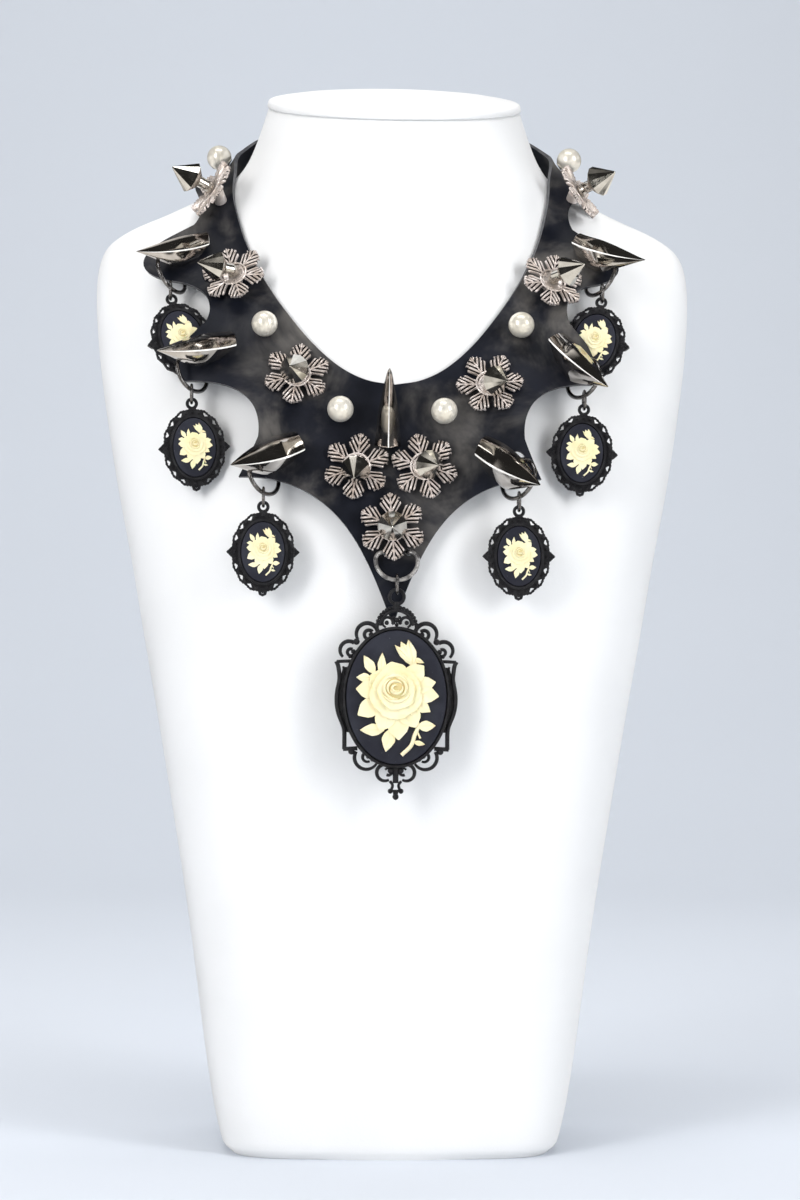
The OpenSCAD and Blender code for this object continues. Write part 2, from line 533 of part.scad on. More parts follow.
// Small pendants, drawn flat like the main one
drop_eye_up = 13.6;
lobes = 16;
module drop_frame() {
    wall = oval(drop_cameo_w / 2 + 1, drop_cameo_h / 2 + 1, 36);
    bed = oval(drop_cameo_w / 2 + gap, drop_cameo_h / 2 + gap, 36);
    linear_extrude(drop_t) difference() {
        union() {
            polygon([for (i = [0:4 * lobes - 1]) let (a = 90 * i / lobes, k = 0.28 * cos(a * lobes))
                [(9.45 + k) * cos(a), (12 + k) * sin(a)]]);
            both_sides() polygon([[8, 1.6], [9.9, 1.1], [11, 0], [9.9, -1.1], [8, -1.6]]);
            polygon([[-1.6, -11], [1.6, -11], [1.1, -12.8], [0, -13.3], [-1.1, -12.8]]);
            polygon([[-1.1, 11], [1.1, 11], [0.7, 12.6], [-0.7, 12.6]]);
        }
        polygon(bed);
        for (a = [22, 42, 63, -22, -42, -63]) both_sides()
            translate([8.6 * cos(a), 11.1 * sin(a)]) rotate(atan2(11 * cos(a), -8.5 * sin(a)))
                polygon([[-1.1, -0.45], [0, -0.6], [1.1, -0.45], [0.55, 0.15], [0, 0.5], [-0.55, 0.15]]);
        translate([0, -12]) circle(r = 0.45, $fn = 8);
    }
    linear_extrude(floor_t) polygon(wall);
    linear_extrude(floor_t + 1.5) difference() {
        polygon(wall);
        polygon(bed);
    }
    translate([0, drop_eye_up, drop_t / 2]) wire_ring(eye_r, eye_wire);
}
module in_drop(i) {
    r = side_rings[i - 1];
    translate(eye_top(r)) rotate([r[6], r[4], 0]) rotate([0, 0, r[5]])
        translate([0, drop_t / 2, -eye_r - drop_eye_up]) rotate([90, 0, 0]) children();
}
module frame_at(i) { color(black_metal) in_drop(i) drop_frame(); }
module cameo_at(i) {
    color(cream) in_drop(i) translate([0, 0, cameo_z]) {
        linear_extrude(1.3) polygon(oval(drop_cameo_w / 2, drop_cameo_h / 2, 36));
        translate([0.2, 0.2, 1.2]) scale(drop_cameo_h / 43) rose();
    }
}

neck_bust();
collar();
clasp();
main_ring();
main_link();
main_frame();
main_cameo();
main_rose();
for (i = [1:7]) claw_at(i);
for (i = [1:9]) flower_at(i);
for (i = [1:9]) spike_at(i);
for (i = [1:6]) pearl_at(i);
for (i = [1:6]) links_at(i);
for (i = [1:6]) frame_at(i);
for (i = [1:6]) cameo_at(i);
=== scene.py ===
"""Looks of the cameo necklace on its neck bust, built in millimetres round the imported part."""
import math

import bmesh
import bpy
import mathutils
import numpy as np
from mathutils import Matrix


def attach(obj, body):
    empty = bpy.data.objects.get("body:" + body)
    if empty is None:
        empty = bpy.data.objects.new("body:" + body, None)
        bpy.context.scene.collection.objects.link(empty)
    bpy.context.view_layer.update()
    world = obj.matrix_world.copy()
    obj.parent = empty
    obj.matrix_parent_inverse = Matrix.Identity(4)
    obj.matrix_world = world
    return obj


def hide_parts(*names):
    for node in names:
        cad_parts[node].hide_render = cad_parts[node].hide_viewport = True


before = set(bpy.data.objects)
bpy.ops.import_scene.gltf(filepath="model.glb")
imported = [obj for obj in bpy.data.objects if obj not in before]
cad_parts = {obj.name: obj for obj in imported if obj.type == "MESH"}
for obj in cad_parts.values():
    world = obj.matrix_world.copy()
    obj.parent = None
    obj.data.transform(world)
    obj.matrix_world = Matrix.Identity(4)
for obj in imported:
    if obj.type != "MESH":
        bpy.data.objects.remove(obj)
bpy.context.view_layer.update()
ROOT, LINK, PENDANT = "bust_and_collar", "pendant_link", "pendant"

# Sizes, as in the part's source
STD_H, CAP_FROM, CREASE, CAP_TILT, NECK_SQUARE = 336, 300, 8, 17.5, 2.1
TRUNK = [  # level, half width, depth to the front, depth to the back, squareness
    [0, 50, 39, 38, 5], [3, 52.7, 41.5, 40.5, 5], [23, 57, 43, 42, 4.6], [75, 64.3, 48, 45, 4],
    [127, 73, 52, 48, 3.4], [160, 79, 53.5, 50, 3.1], [185, 83.5, 53, 51, 2.9],
    [205, 87.5, 50, 51, 2.8], [225, 91, 46, 50, 2.7], [245, 94, 40.5, 48, 2.6],
    [260, 95.5, 35.5, 46, 2.6], [272, 96, 30.5, 43, 2.5], [281, 95, 27, 39, 2.4],
    [287, 92, 25, 36, 2.3], [292, 85, 23.5, 33, 2.2], [297, 74, 22.5, 30, 2.1],
    [303, 62, 22, 27, 2], [310, 50, 21.5, 24, 2], [318, 42, 20, 22, 2], [350, 20, 18, 20, 2]]
NECK = [  # level, half width, depth to the front, depth to the back
    [0, 40, 38, 36], [185, 60, 46, 40], [205, 64, 48, 40], [225, 66, 48.5, 40],
    [245, 65, 47.5, 40], [260, 62, 45.5, 41], [272, 59.5, 43.5, 42], [284, 57, 42, 42],
    [300, 52.5, 39.5, 41], [312, 47.5, 38.5, 40], [325, 43.5, 37.5, 39], [336, 40.5, 37, 38],
    [350, 40, 37, 38]]
AXIS = [[0, 0], [200, 0], [245, 2], [290, 5], [350, 5]]
NECKLINE = [
    [0, 236.4], [10, 238], [19, 242], [28.7, 249.4], [39, 259.7], [49.5, 271.4], [59, 284],
    [67, 295.3], [76, 306], [90, 314.5], [110, 321.5], [130, 325], [180, 326]]
EDGE = [  # start, two pulls and end; steps; neckline angle at the end
    [[0, 163], [7, 180], [16, 206], [43.2, 206], 12, 32],
    [[43.2, 206], [38.6, 215.5], [36.8, 234.5], [58.5, 235.5], 8, 48],
    [[58.5, 235.5], [60.9, 242], [61, 248], [58.6, 252], 4, 53],
    [[58.6, 252], [57, 258], [60.5, 266.5], [67.8, 267.8], 5, 62],
    [[67.8, 267.8], [73.8, 270.7], [75, 279], [71.4, 288], 4, 70],
    [[71.4, 288], [72.5, 297], [80, 303], [100, 306], 5, 100],
    [[100, 306], [125, 307.5], [150, 308], [180, 308], 6, 180]]
COLLAR_T, COLLAR_TURN, GAP = 1.3, -2, 0.25
LIE, STAND_MID, STAND_SIDE, STAND_BACK, STAND_SPAN = 0.75, 2.4, 4.5, 3.5, 38
RING_R, RING_WIRE, LINK_R, LINK_WIRE = 6.35, 1.3, 2.8, 0.9
SIDE_RINGS = [  # angle and level of the hole, yaw, pitch; tilt, turn and lean of the pendant; play
    [-40.4, 212.3, 45, -25, 0, 0, 0, 0.42], [36, 211.8, -45, -25, 0, 0, 0, 0.42],
    [-60.2, 243.9, 46, -25, -3.7, 6, -1, 0.42], [56.2, 243.1, -46, -25, 2.9, -6, -3, 0.42],
    [-71.7, 275.4, 50, -40, -15, 13, -11.7, 0.9], [68.8, 275.8, -50, -40, 10.5, -10, -12, 0.9]]
HOLE_D, HOLE_UP, LINK_GAP, EYE_R, EYE_WIRE = RING_WIRE + 3.3, 0.7, 0.3, 1.4, 1
PRONG_X, MAIN_X, MAIN_Z, MAIN_PITCH, BAR_UP, PLAY = 3.6, -0.85, 182.4, 22, 2.85, 0.35
MAIN_EYE_R, EYE_UP, FRAME_T, FLOOR_T = 2.2, 30.1, 1.6, 0.8
CAMEO_W, CAMEO_H, DROP_W, DROP_H, DROP_T, DROP_EYE_UP = 30, 40, 13, 18, 1.2, 13.6
CLAWS = [  # angle, level, direction, length, width, lift, height, lean of the ridge, slant, 1 if slim
    [-4, 217.1, 89.2, 1, 0.86, 8.5, 8.3, 0, 0, 1],
    [-34.1, 214.9, 204, 0.9, 0.95, 9.6, 9.6, 0.5, 0.8, 0],
    [28.4, 213.3, -35, 0.86, 1.04, 8, 9.2, -0.45, -0.95, 0],
    [-54.6, 246.4, 198.3, 0.94, 0.98, 7.4, 9, 0.75, 0.8, 0],
    [52, 246, -56, 0.93, 0.96, 7.6, 9.2, -0.66, -1, 0],
    [-69.66, 281.22, 210, 1.014, 0.939, 9.56, 4.2, 0.99, 0.98, 0],
    [68.07, 281.71, -41, 1.097, 1.03, 12.8, 5.2, -0.75, -0.84, 0]]
CLAW_L, CLAW_W, CLAW_RAKE = 22, 11, 0.4
FLOWERS = [  # angle, level, lift, lean, turn
    [-74.4, 297.7, 4.5, 40, 10], [76.4, 299.6, 2.3, -40, -10], [-58.7, 269.8, 2, 14, 45],
    [55.4, 268.6, 2, -14, 20], [-34.3, 238.3, 0.25, 4, 20], [30.3, 235.9, 0.25, -4, 6],
    [-14.2, 210.2, 0, 0, 23], [8.2, 210.5, 0, 0, 44], [-2.5, 191.9, 0.65, 0, 34]]
STUDS = [  # side it leans to, lean, added neck, size
    [251, 5, 3.2, 1.12], [241, 20, 3.2, 1.12], [192, 49, 3, 1.05], [343, 32, 3, 1.05], [240, 24, 2, 1],
    [320, 42, 2, 1], [264, 40, 2, 1], [321, 26, 2, 1], [258, 13, 0.5, 1]]
KNEE = 1.9
PEARLS = [[-95, 311.5], [91, 311], [-45.8, 252.8], [42.3, 253.4], [-20, 227.1], [15.1, 226.9]]


# Bust and collar as surfaces
def read(table, v):
    """A soft curve through a table's rows, at values of its first column."""
    t = np.array(table, float)
    n = len(t) - 1
    v = np.asarray(v, float)
    k = np.clip(np.searchsorted(t[:, 0], v) - 1, 0, n - 1)
    a, b = np.maximum(np.arange(n + 1) - 1, 0), np.minimum(np.arange(n + 1) + 1, n)
    steep = (t[b] - t[a]) / (t[b, 0] - t[a, 0])[:, None]
    h = (t[k + 1, 0] - t[k, 0])[..., None]
    s = np.clip((v - t[k, 0])[..., None] / h, 0, 1)
    return ((2 * s**3 - 3 * s**2 + 1) * t[k] + (s**3 - 2 * s**2 + s) * h * steep[k]
            + (3 * s**2 - 2 * s**3) * t[k + 1] + (s**3 - s**2) * h * steep[k + 1])


def soft(v):
    t = np.clip(v, 0, 1)
    return t * t * (3 - 2 * t)


def unit(v):
    v = np.asarray(v, float)
    return v / np.linalg.norm(v, axis=-1, keepdims=True)


def oval_r(s, c, a, b, n):
    return (np.abs(s / a) ** n + np.abs(c / b) ** n) ** (-1 / n)


def skin(angle, level):
    """A point of the bust's skin."""
    angle, level = np.broadcast_arrays(np.asarray(angle, float), np.asarray(level, float))
    s, c = np.sin(np.radians(angle)), np.cos(np.radians(angle))
    t, n = read(TRUNK, level), read(NECK, level)
    r1 = oval_r(s, c, t[..., 1], np.where(c > 0, t[..., 2], t[..., 3]), t[..., 4])
    r2 = oval_r(s, c, n[..., 1], np.where(c > 0, n[..., 2], n[..., 3]), NECK_SQUARE)
    h = np.maximum(CREASE - np.abs(r1 - r2), 0) / CREASE
    r = np.maximum(r1, r2) + h * h * CREASE / 4
    y = -r * c
    w = soft((level - CAP_FROM) / (STD_H - CAP_FROM))
    tilt = y * math.tan(math.radians(CAP_TILT)) * w
    return np.stack([r * s, read(AXIS, level)[..., 1] + y, level + tilt], -1)


def stand_off(angle, level):
    a = np.abs(angle - COLLAR_TURN)
    t = soft((read(NECKLINE, a)[..., 1] - level) / STAND_SPAN)
    return (LIE + STAND_BACK * soft((a - 76) / 20)
            + t * (STAND_MID + STAND_SIDE * soft((a - 15) / 25) * (1 - soft((a - 84) / 16))))


def outward(f, angle, level):
    along = f(angle + 0.5, level) - f(angle - 0.5, level)
    up = f(angle, level + 0.5) - f(angle, level - 0.5)
    return unit(np.cross(along, up))


def on_sheet(angle, level, d):
    """A point d above the collar's back face."""
    angle, level = np.asarray(angle, float), np.asarray(level, float)
    off = stand_off(angle, level) + d
    return skin(angle, level) + off[..., None] * outward(skin, angle, level)


def sheet_out(angle, level):
    return outward(lambda a, l: on_sheet(a, l, 0), angle, level)


def bezier(p, t):
    p = [np.array(q, float) for q in p[:4]]
    t = np.asarray(t, float)[..., None]
    return (1 - t) ** 3 * p[0] + 3 * (1 - t) ** 2 * t * p[1] + 3 * (1 - t) * t * t * p[2] + t**3 * p[3]


# Mesh building
class Shape:
    """Points and faces, with a value from 0 to 1 for how deep in a groove each point lies."""

    def __init__(self):
        self.v, self.f, self.m, self.deep, self.n = [], [], [], [], 0

    def add(self, made, place=None, mat=0, deep=0.0):
        v, f = made[0].reshape(-1, 3), made[1]
        if place is not None:
            v = v @ place[:3, :3].T + place[:3, 3]
        self.v.append(v)
        self.f += [[i + self.n for i in face] for face in f]
        self.m += [mat] * len(f)
        self.deep.append(np.broadcast_to(np.asarray(deep, float), (len(v),)) if np.ndim(deep) < 1
                         else np.asarray(deep, float).reshape(-1))
        self.n += len(v)
        return self

    def merge(self, other, place=None):
        v = np.concatenate(other.v)
        self.v.append(v @ place[:3, :3].T + place[:3, 3] if place is not None else v)
        self.f += [[i + self.n for i in face] for face in other.f]
        self.m += other.m
        self.deep.append(np.concatenate(other.deep))
        self.n += len(v)
        return self


def piece(name, shape, materials, body, nodes=(), sharp=40):
    """One visible object from a shape in millimetres."""
    me = bpy.data.meshes.new(name)
    me.from_pydata((np.concatenate(shape.v) * 0.001).tolist(), [], shape.f)
    deep = me.attributes.new("deep", "FLOAT", "POINT")
    deep.data.foreach_set("value", np.concatenate(shape.deep).astype(np.float32))
    for m in materials:
        me.materials.append(m)
    me.polygons.foreach_set("material_index", shape.m)
    bm = bmesh.new()
    bm.from_mesh(me)
    bmesh.ops.recalc_face_normals(bm, faces=bm.faces)
    bm.to_mesh(me)
    bm.free()
    me.polygons.foreach_set("use_smooth", [True] * len(me.polygons))
    me.set_sharp_from_angle(angle=math.radians(sharp))
    obj = bpy.data.objects.new(name, me)
    bpy.context.scene.collection.objects.link(obj)
    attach(obj, body)
    if nodes:
        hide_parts(*nodes)
    return obj


def grid(n, m, wrap_n=False, wrap_m=False):
    """Faces over n rows of m points."""
    i = np.arange(n if wrap_n else n - 1)[:, None]
    j = np.arange(m if wrap_m else m - 1)[None, :]
    i2, j2 = (i + 1) % n, (j + 1) % m
    return np.stack([i * m + j, i * m + j2, i2 * m + j2, i2 * m + j], -1).reshape(-1, 4).tolist()


def caps(rows, n):
    """The two end faces of a skin that has rows of n points."""
    return [list(range(n)), [(rows - 1) * n + i for i in reversed(range(n))]]


def slab(top, low):
    """A closed shell between two grids of points."""
    n, m = top.shape[:2]
    k = n * m
    loop = ([j for j in range(m)] + [i * m + m - 1 for i in range(1, n)]
            + [(n - 1) * m + j for j in range(m - 2, -1, -1)] + [i * m for i in range(n - 2, 0, -1)])
    faces = grid(n, m) + [[i + k for i in reversed(f)] for f in grid(n, m)]
    faces += [[a, b, b + k, a + k] for a, b in zip(loop, loop[1:] + loop[:1])]
    return np.concatenate([top.reshape(-1, 3), low.reshape(-1, 3)]), faces


def tube(path, radius, n=12, closed=False, flat=(0, 0, 1), tall=1.0):
    """A wire along a path. Its section is round, or taller along flat."""
    path = np.array(path, float)
    m = len(path)
    t = np.roll(path, -1, 0) - np.roll(path, 1, 0) if closed else np.gradient(path, axis=0)
    t = unit(t)
    u = unit(np.cross(t, flat))
    w = np.cross(u, t)
    a = np.arange(n) * 2 * math.pi / n
    r = np.broadcast_to(np.asarray(radius, float), (m,))[:, None, None]
    wide = np.cos(a)[None, :, None] * u[:, None]
    high = tall * np.sin(a)[None, :, None] * w[:, None]
    pts = path[:, None] + r * (wide + high)
    faces = grid(m, n, closed, True)
    if not closed:
        faces += caps(m, n)
    return pts.reshape(-1, 3), faces


def lathe(profile, n, phase=0.0):
    """Turns (radius, height) pairs about Z."""
    a = phase + np.arange(n) * 2 * math.pi / n
    p = np.array(profile, float)
    pts = np.stack([p[:, :1] * np.cos(a), p[:, :1] * np.sin(a), np.repeat(p[:, 1:], n, 1)], -1)
    m = len(p)
    return pts.reshape(-1, 3), grid(m, n, False, True) + caps(m, n)


def ball(c, r, n=12, tall=1.0):
    a = np.linspace(-math.pi / 2, math.pi / 2, n // 2 + 3)[1:-1]
    v, f = lathe(np.stack([r * np.cos(a), r * tall * np.sin(a)], -1), n)
    return v + np.array(c, float), f


def face_to(p, z):
    x = unit(np.cross([0, 0, 1], z))
    m = np.eye(4)
    m[:3, 0], m[:3, 1], m[:3, 2], m[:3, 3] = x, np.cross(z, x), z, p
    return m


def turn(a=0, b=0, c=0):
    """Turns about X, then Y, then Z, in degrees."""
    a, b, c = np.radians([a, b, c])
    rx = np.array([[1, 0, 0], [0, math.cos(a), -math.sin(a)], [0, math.sin(a), math.cos(a)]])
    ry = np.array([[math.cos(b), 0, math.sin(b)], [0, 1, 0], [-math.sin(b), 0, math.cos(b)]])
    rz = np.array([[math.cos(c), -math.sin(c), 0], [math.sin(c), math.cos(c), 0], [0, 0, 1]])
    m = np.eye(4)
    m[:3, :3] = rz @ ry @ rx
    return m


def move(v):
    m = np.eye(4)
    m[:3, 3] = v
    return m


def zoom(k):
    return np.diag([k, k, k, 1.0])


def seat(angle, level, d=0.0):
    return on_sheet(angle, level, COLLAR_T + GAP + d)


# Materials
class Paint:
    """A Principled material with the few nodes that the finishes share."""

    def __init__(self, name, color, rough, metallic=0.0, **sockets):
        self.mat = bpy.data.materials.new(name)
        self.mat.use_nodes = True
        self.t = self.mat.node_tree
        self.out = self.t.nodes["Principled BSDF"]
        self.set("Base Color", (*color, 1))
        self.set("Roughness", rough)
        self.set("Metallic", metallic)
        for key, value in sockets.items():
            self.set(key.replace("_", " "), value)
        self.where = self.node("ShaderNodeTexCoord").outputs["Object"]

    def set(self, key, value):
        self.out.inputs[key].default_value = value

    def node(self, kind, **inputs):
        n = self.t.nodes.new(kind)
        for key, value in inputs.items():
            self.link(value, n.inputs[key.replace("_", " ")])
        return n

    def link(self, value, socket):
        if isinstance(value, bpy.types.NodeSocket):
            self.t.links.new(value, socket)
        else:
            socket.default_value = value

    def noise(self, scale, detail=3.0, rough=0.5, distort=0.0):
        return self.node("ShaderNodeTexNoise", Vector=self.where, Scale=scale, Detail=detail,
                         Roughness=rough, Distortion=distort).outputs["Fac"]

    def ramp(self, value, low, high, out_low=0.0, out_high=1.0):
        n = self.node("ShaderNodeMapRange", Value=value)
        for key, x in (("From Min", low), ("From Max", high), ("To Min", out_low), ("To Max", out_high)):
            n.inputs[key].default_value = x
        n.interpolation_type = "SMOOTHSTEP"
        return n.outputs["Result"]

    def mix(self, amount, a, b):
        n = self.node("ShaderNodeMix")
        n.data_type = "RGBA"
        self.link(amount, n.inputs["Factor"])
        for value, socket in ((a, n.inputs[6]), (b, n.inputs[7])):
            self.link((*value, 1) if isinstance(value, tuple) and len(value) == 3 else value, socket)
        return n.outputs[2]

    def math(self, kind, a, b):
        n = self.t.nodes.new("ShaderNodeMath")
        n.operation = kind
        self.link(a, n.inputs[0])
        self.link(b, n.inputs[1])
        return n.outputs[0]

    def deep(self):
        n = self.t.nodes.new("ShaderNodeAttribute")
        n.attribute_name = "deep"
        return n.outputs["Fac"]

    def color(self, value):
        self.link(value, self.out.inputs["Base Color"])

    def rough(self, value):
        self.link(value, self.out.inputs["Roughness"])

    def bump(self, height, distance):
        n = self.node("ShaderNodeBump", Height=height, Distance=distance, Strength=1.0)
        self.link(n.outputs["Normal"], self.out.inputs["Normal"])


def finishes():
    made = {}
    p = Paint("bust_white", (0.8, 0.805, 0.81), 0.5)
    p.color(p.mix(p.ramp(p.noise(28, 4), 0.3, 0.7), (0.79, 0.795, 0.8), (0.82, 0.825, 0.83)))
    p.rough(p.ramp(p.noise(60, 3), 0.3, 0.7, 0.42, 0.56))
    p.bump(p.noise(1400, 3), 0.00003)
    made["bust"] = p.mat

    p = Paint("rubber", (0.012, 0.016, 0.028), 0.4, Specular_IOR_Level=0.2)
    haze = p.math("MULTIPLY", p.ramp(p.noise(36, 5, 0.6, 0.4), 0.46, 0.72),
                  p.ramp(p.noise(90, 4), 0.25, 0.75, 0.45, 1.0))
    tint = p.mix(p.ramp(p.noise(70, 3), 0.35, 0.65), (0.0045, 0.0055, 0.0095), (0.01, 0.0115, 0.018))
    p.color(p.mix(haze, tint, (0.125, 0.117, 0.108)))
    p.rough(p.ramp(p.noise(50, 4), 0.3, 0.7, 0.34, 0.5))
    p.bump(p.noise(900, 4), 0.00004)
    made["collar"] = p.mat
    p = Paint("rubber_edge", (0.05, 0.052, 0.058), 0.45)
    p.color(p.mix(p.ramp(p.noise(400, 3), 0.3, 0.7), (0.04, 0.042, 0.05), (0.085, 0.085, 0.09)))
    made["edge"] = p.mat

    p = Paint("gunmetal", (0.56, 0.53, 0.5), 0.08, 1.0)
    p.color(p.mix(p.ramp(p.noise(180, 3), 0.35, 0.7), (0.5, 0.47, 0.44), (0.62, 0.59, 0.56)))
    p.rough(p.ramp(p.noise(240, 4), 0.35, 0.75, 0.05, 0.12))
    made["claw"] = p.mat
    # near-white paint for the ridge strip of each claw: a painted highlight, the thin bright line along the
    # ridge
    p = Paint("ridge_painted_highlight", (0.95, 0.93, 0.9), 0.34, 0.3)
    p.color(p.mix(p.ramp(p.noise(300, 3), 0.3, 0.7), (0.86, 0.84, 0.8), (1, 0.985, 0.96)))
    p.rough(p.ramp(p.noise(500, 3), 0.3, 0.7, 0.28, 0.42))
    made["ridge"] = p.mat
    p = Paint("dark_wire", (0.2, 0.195, 0.195), 0.2, 1.0)
    p.color(p.mix(p.ramp(p.noise(500, 3), 0.3, 0.7), (0.15, 0.148, 0.15), (0.26, 0.25, 0.25)))
    p.rough(p.ramp(p.noise(700, 3), 0.3, 0.7, 0.14, 0.28))
    made["wire"] = p.mat
    p = Paint("ridged_wire", (0.5, 0.49, 0.48), 0.3, 0.7)
    p.color(p.mix(p.ramp(p.noise(420, 3), 0.35, 0.6), (0.16, 0.155, 0.155), (0.5, 0.49, 0.48)))
    p.rough(p.ramp(p.noise(700, 3), 0.3, 0.7, 0.22, 0.4))
    made["ridged"] = p.mat

    p = Paint("antique_silver", (0.7, 0.64, 0.6), 0.22, 0.55)
    silver = p.mix(p.ramp(p.noise(300, 3), 0.35, 0.65), (0.94, 0.86, 0.82), (0.7, 0.61, 0.55))
    p.color(p.mix(p.ramp(p.deep(), 0.3, 0.68), silver, (0.014, 0.012, 0.011)))
    p.rough(p.ramp(p.deep(), 0.2, 0.8, 0.24, 0.55))
    made["flower"] = p.mat
    p = Paint("stud", (0.62, 0.6, 0.55), 0.1, 1.0)
    p.color(p.mix(p.ramp(p.noise(260, 3), 0.3, 0.7), (0.56, 0.54, 0.5), (0.68, 0.66, 0.61)))
    p.rough(p.ramp(p.noise(400, 3), 0.3, 0.7, 0.07, 0.16))
    made["stud"] = p.mat

    p = Paint("pearl", (0.85, 0.82, 0.74), 0.3, 0.45, Coat_Weight=0.5, Coat_Roughness=0.1)
    p.color(p.mix(p.ramp(p.noise(160, 2), 0.3, 0.7), (0.83, 0.78, 0.66), (0.89, 0.85, 0.76)))
    p.bump(p.noise(700, 2), 0.00002)
    made["pearl"] = p.mat

    p = Paint("black_frame", (0.02, 0.02, 0.024), 0.42, Specular_IOR_Level=0.3)
    p.color(p.mix(p.ramp(p.noise(500, 4), 0.35, 0.7), (0.007, 0.007, 0.009), (0.018, 0.018, 0.02)))
    p.rough(p.ramp(p.noise(900, 3), 0.3, 0.7, 0.34, 0.52))
    p.bump(p.noise(2600, 2), 0.00003)
    made["frame"] = p.mat
    p = Paint("cameo_ground", (0.016, 0.018, 0.028), 0.55, Specular_IOR_Level=0.3)
    specks = p.ramp(p.noise(1500, 2), 0.72, 0.78)
    blue_black = p.mix(p.ramp(p.noise(120, 4), 0.35, 0.7), (0.013, 0.014, 0.023), (0.024, 0.026, 0.037))
    p.color(p.mix(specks, blue_black, (0.12, 0.12, 0.13)))
    p.bump(p.noise(1200, 3), 0.00003)
    made["ground"] = p.mat
    p = Paint("cream", (0.93, 0.86, 0.6), 0.45, Subsurface_Weight=0.1, Subsurface_Scale=0.001)
    base = p.mix(p.ramp(p.noise(170, 4), 0.3, 0.7), (0.86, 0.765, 0.475), (0.9, 0.82, 0.56))
    # darker warm cream where the deep value is high, in the rose's hollows and at the bloom's core: painted
    # shade
    p.color(p.mix(p.ramp(p.deep(), 0.1, 0.95), base, (0.62, 0.5, 0.22)))
    p.bump(p.noise(900, 3), 0.00004)
    made["cream"] = p.mat
    return made


LOOK = finishes()


# Bust
CAP_LIP = [  # height from the rim, inset
    [-3.5, 0], [-3.15, 0.15], [-2.9, 0.75], [-2.6, 0.45], [-2.4, -0.3], [-2.0, -0.55], [-0.8, -0.6],
    [-0.25, -0.45], [0.1, 0.2], [0.5, 2], [1.5, 8], [2.3, 16], [2.8, 24], [3.0, 36]]


def bust():
    sides = 168
    t = np.arange(sides) * 360 / sides
    around = t + 17 * np.sin(np.radians(2 * t))
    foot, cap = [0, 0.3, 0.9, 1.8, 3, 5], [329, 331.5]
    levels = np.concatenate([foot, np.linspace(8, 240, 60), np.linspace(242, 326, 62), cap])
    rows = skin(around[None, :], levels[:, None])
    middle = read(AXIS, STD_H)[1]
    lip = []
    for up, inset in CAP_LIP:
        p = skin(around, STD_H + min(up, 0))
        out = p[:, 1] - middle
        r = np.hypot(p[:, 0], out)
        k = np.maximum(r - inset, 0.5) / r
        lean = out * math.tan(math.radians(CAP_TILT))
        lip.append(np.stack([p[:, 0] * k, middle + out * k, p[:, 2] - lean * (1 - k) + max(up, 0)], -1))
    pts = np.concatenate([rows, np.array(lip)])
    s = Shape().add((pts, grid(len(pts), sides, False, True) + caps(len(pts), sides)))
    piece("neck_bust_skin", s, [LOOK["bust"]], ROOT, ["neck_bust"], 50)


# Collar
SLOT_Y, SLOT_PLAY = -57, 0.8


def cutter(name, place, r, n):
    """A rod through the sheet, for one boolean cut."""
    v, f = lathe([(r, -4), (r, 4)], n)
    v = (v @ place[:3, :3].T + place[:3, 3]) * 0.001
    me = bpy.data.meshes.new(name)
    me.from_pydata(v.tolist(), [], f)
    obj = bpy.data.objects.new(name, me)
    bpy.context.scene.collection.objects.link(obj)
    return obj


def cut(obj, tools):
    for tool in tools:
        m = obj.modifiers.new("cut", "BOOLEAN")
        m.operation, m.object, m.solver = "DIFFERENCE", tool, "EXACT"
    bpy.context.view_layer.update()
    done = bpy.data.meshes.new_from_object(obj.evaluated_get(bpy.context.evaluated_depsgraph_get()))
    obj.modifiers.clear()
    obj.data = done
    for tool in tools:
        bpy.data.objects.remove(tool)


def collar():
    fine, rows, start = 4, 26, 0.0
    st = []
    for arc in EDGE:
        n = arc[4] * fine
        q = np.arange(n) / n
        st.append(np.column_stack([start + (arc[5] - start) * q, bezier(arc, q)]))
        start = arc[5]
    st.append(np.array([[180, 180, EDGE[-1][3][1]]]))
    half = np.concatenate(st)
    back = half[1:-1][::-1]
    side = np.concatenate([np.ones(len(half)), -np.ones(len(back))])[:, None]
    st = np.concatenate([half, back])
    v = np.linspace(0, 1, rows)[None, :]
    level_in = read(NECKLINE, st[:, 0])[:, 1][:, None]
    angle = COLLAR_TURN + side * (st[:, :1] + (st[:, 1:2] - st[:, :1]) * v)
    level = level_in + (st[:, 2:3] - level_in) * v
    front, rear = on_sheet(angle, level, COLLAR_T), on_sheet(angle, level, 0.0)
    # a middle row of points along each cut edge, whose faces take the edge's finish
    mid_in = on_sheet(angle[:, 0], level[:, 0], COLLAR_T / 2)
    mid_out = on_sheet(angle[:, -1], level[:, -1], COLLAR_T / 2)
    ring = np.concatenate([front, mid_out[:, None], rear[:, ::-1], mid_in[:, None]], 1)
    n, m = ring.shape[:2]
    faces = grid(n, m, True, True)
    mats = [1 if (k % m) in (rows - 1, rows, 2 * rows, 2 * rows + 1) else 0 for k in range(len(faces))]
    s = Shape().add((ring, faces))
    s.m = mats
    obj = piece("collar_sheet", s, [LOOK["collar"], LOOK["edge"]], ROOT, ["collar"], 35)
    tools = []
    for r in SIDE_RINGS:
        middle = on_sheet(r[0], r[1] + HOLE_UP, COLLAR_T / 2)
        tools.append(cutter("hole", face_to(middle, sheet_out(r[0], r[1])), HOLE_D / 2, 24))
    up = MAIN_Z + BAR_UP * math.cos(math.radians(MAIN_PITCH))
    for q in (-1, 1):
        place = move([MAIN_X + q * PRONG_X, SLOT_Y, up]) @ turn(90)
        tools.append(cutter("slot", place, (RING_WIRE + SLOT_PLAY) / 2, 16))
    cut(obj, tools)


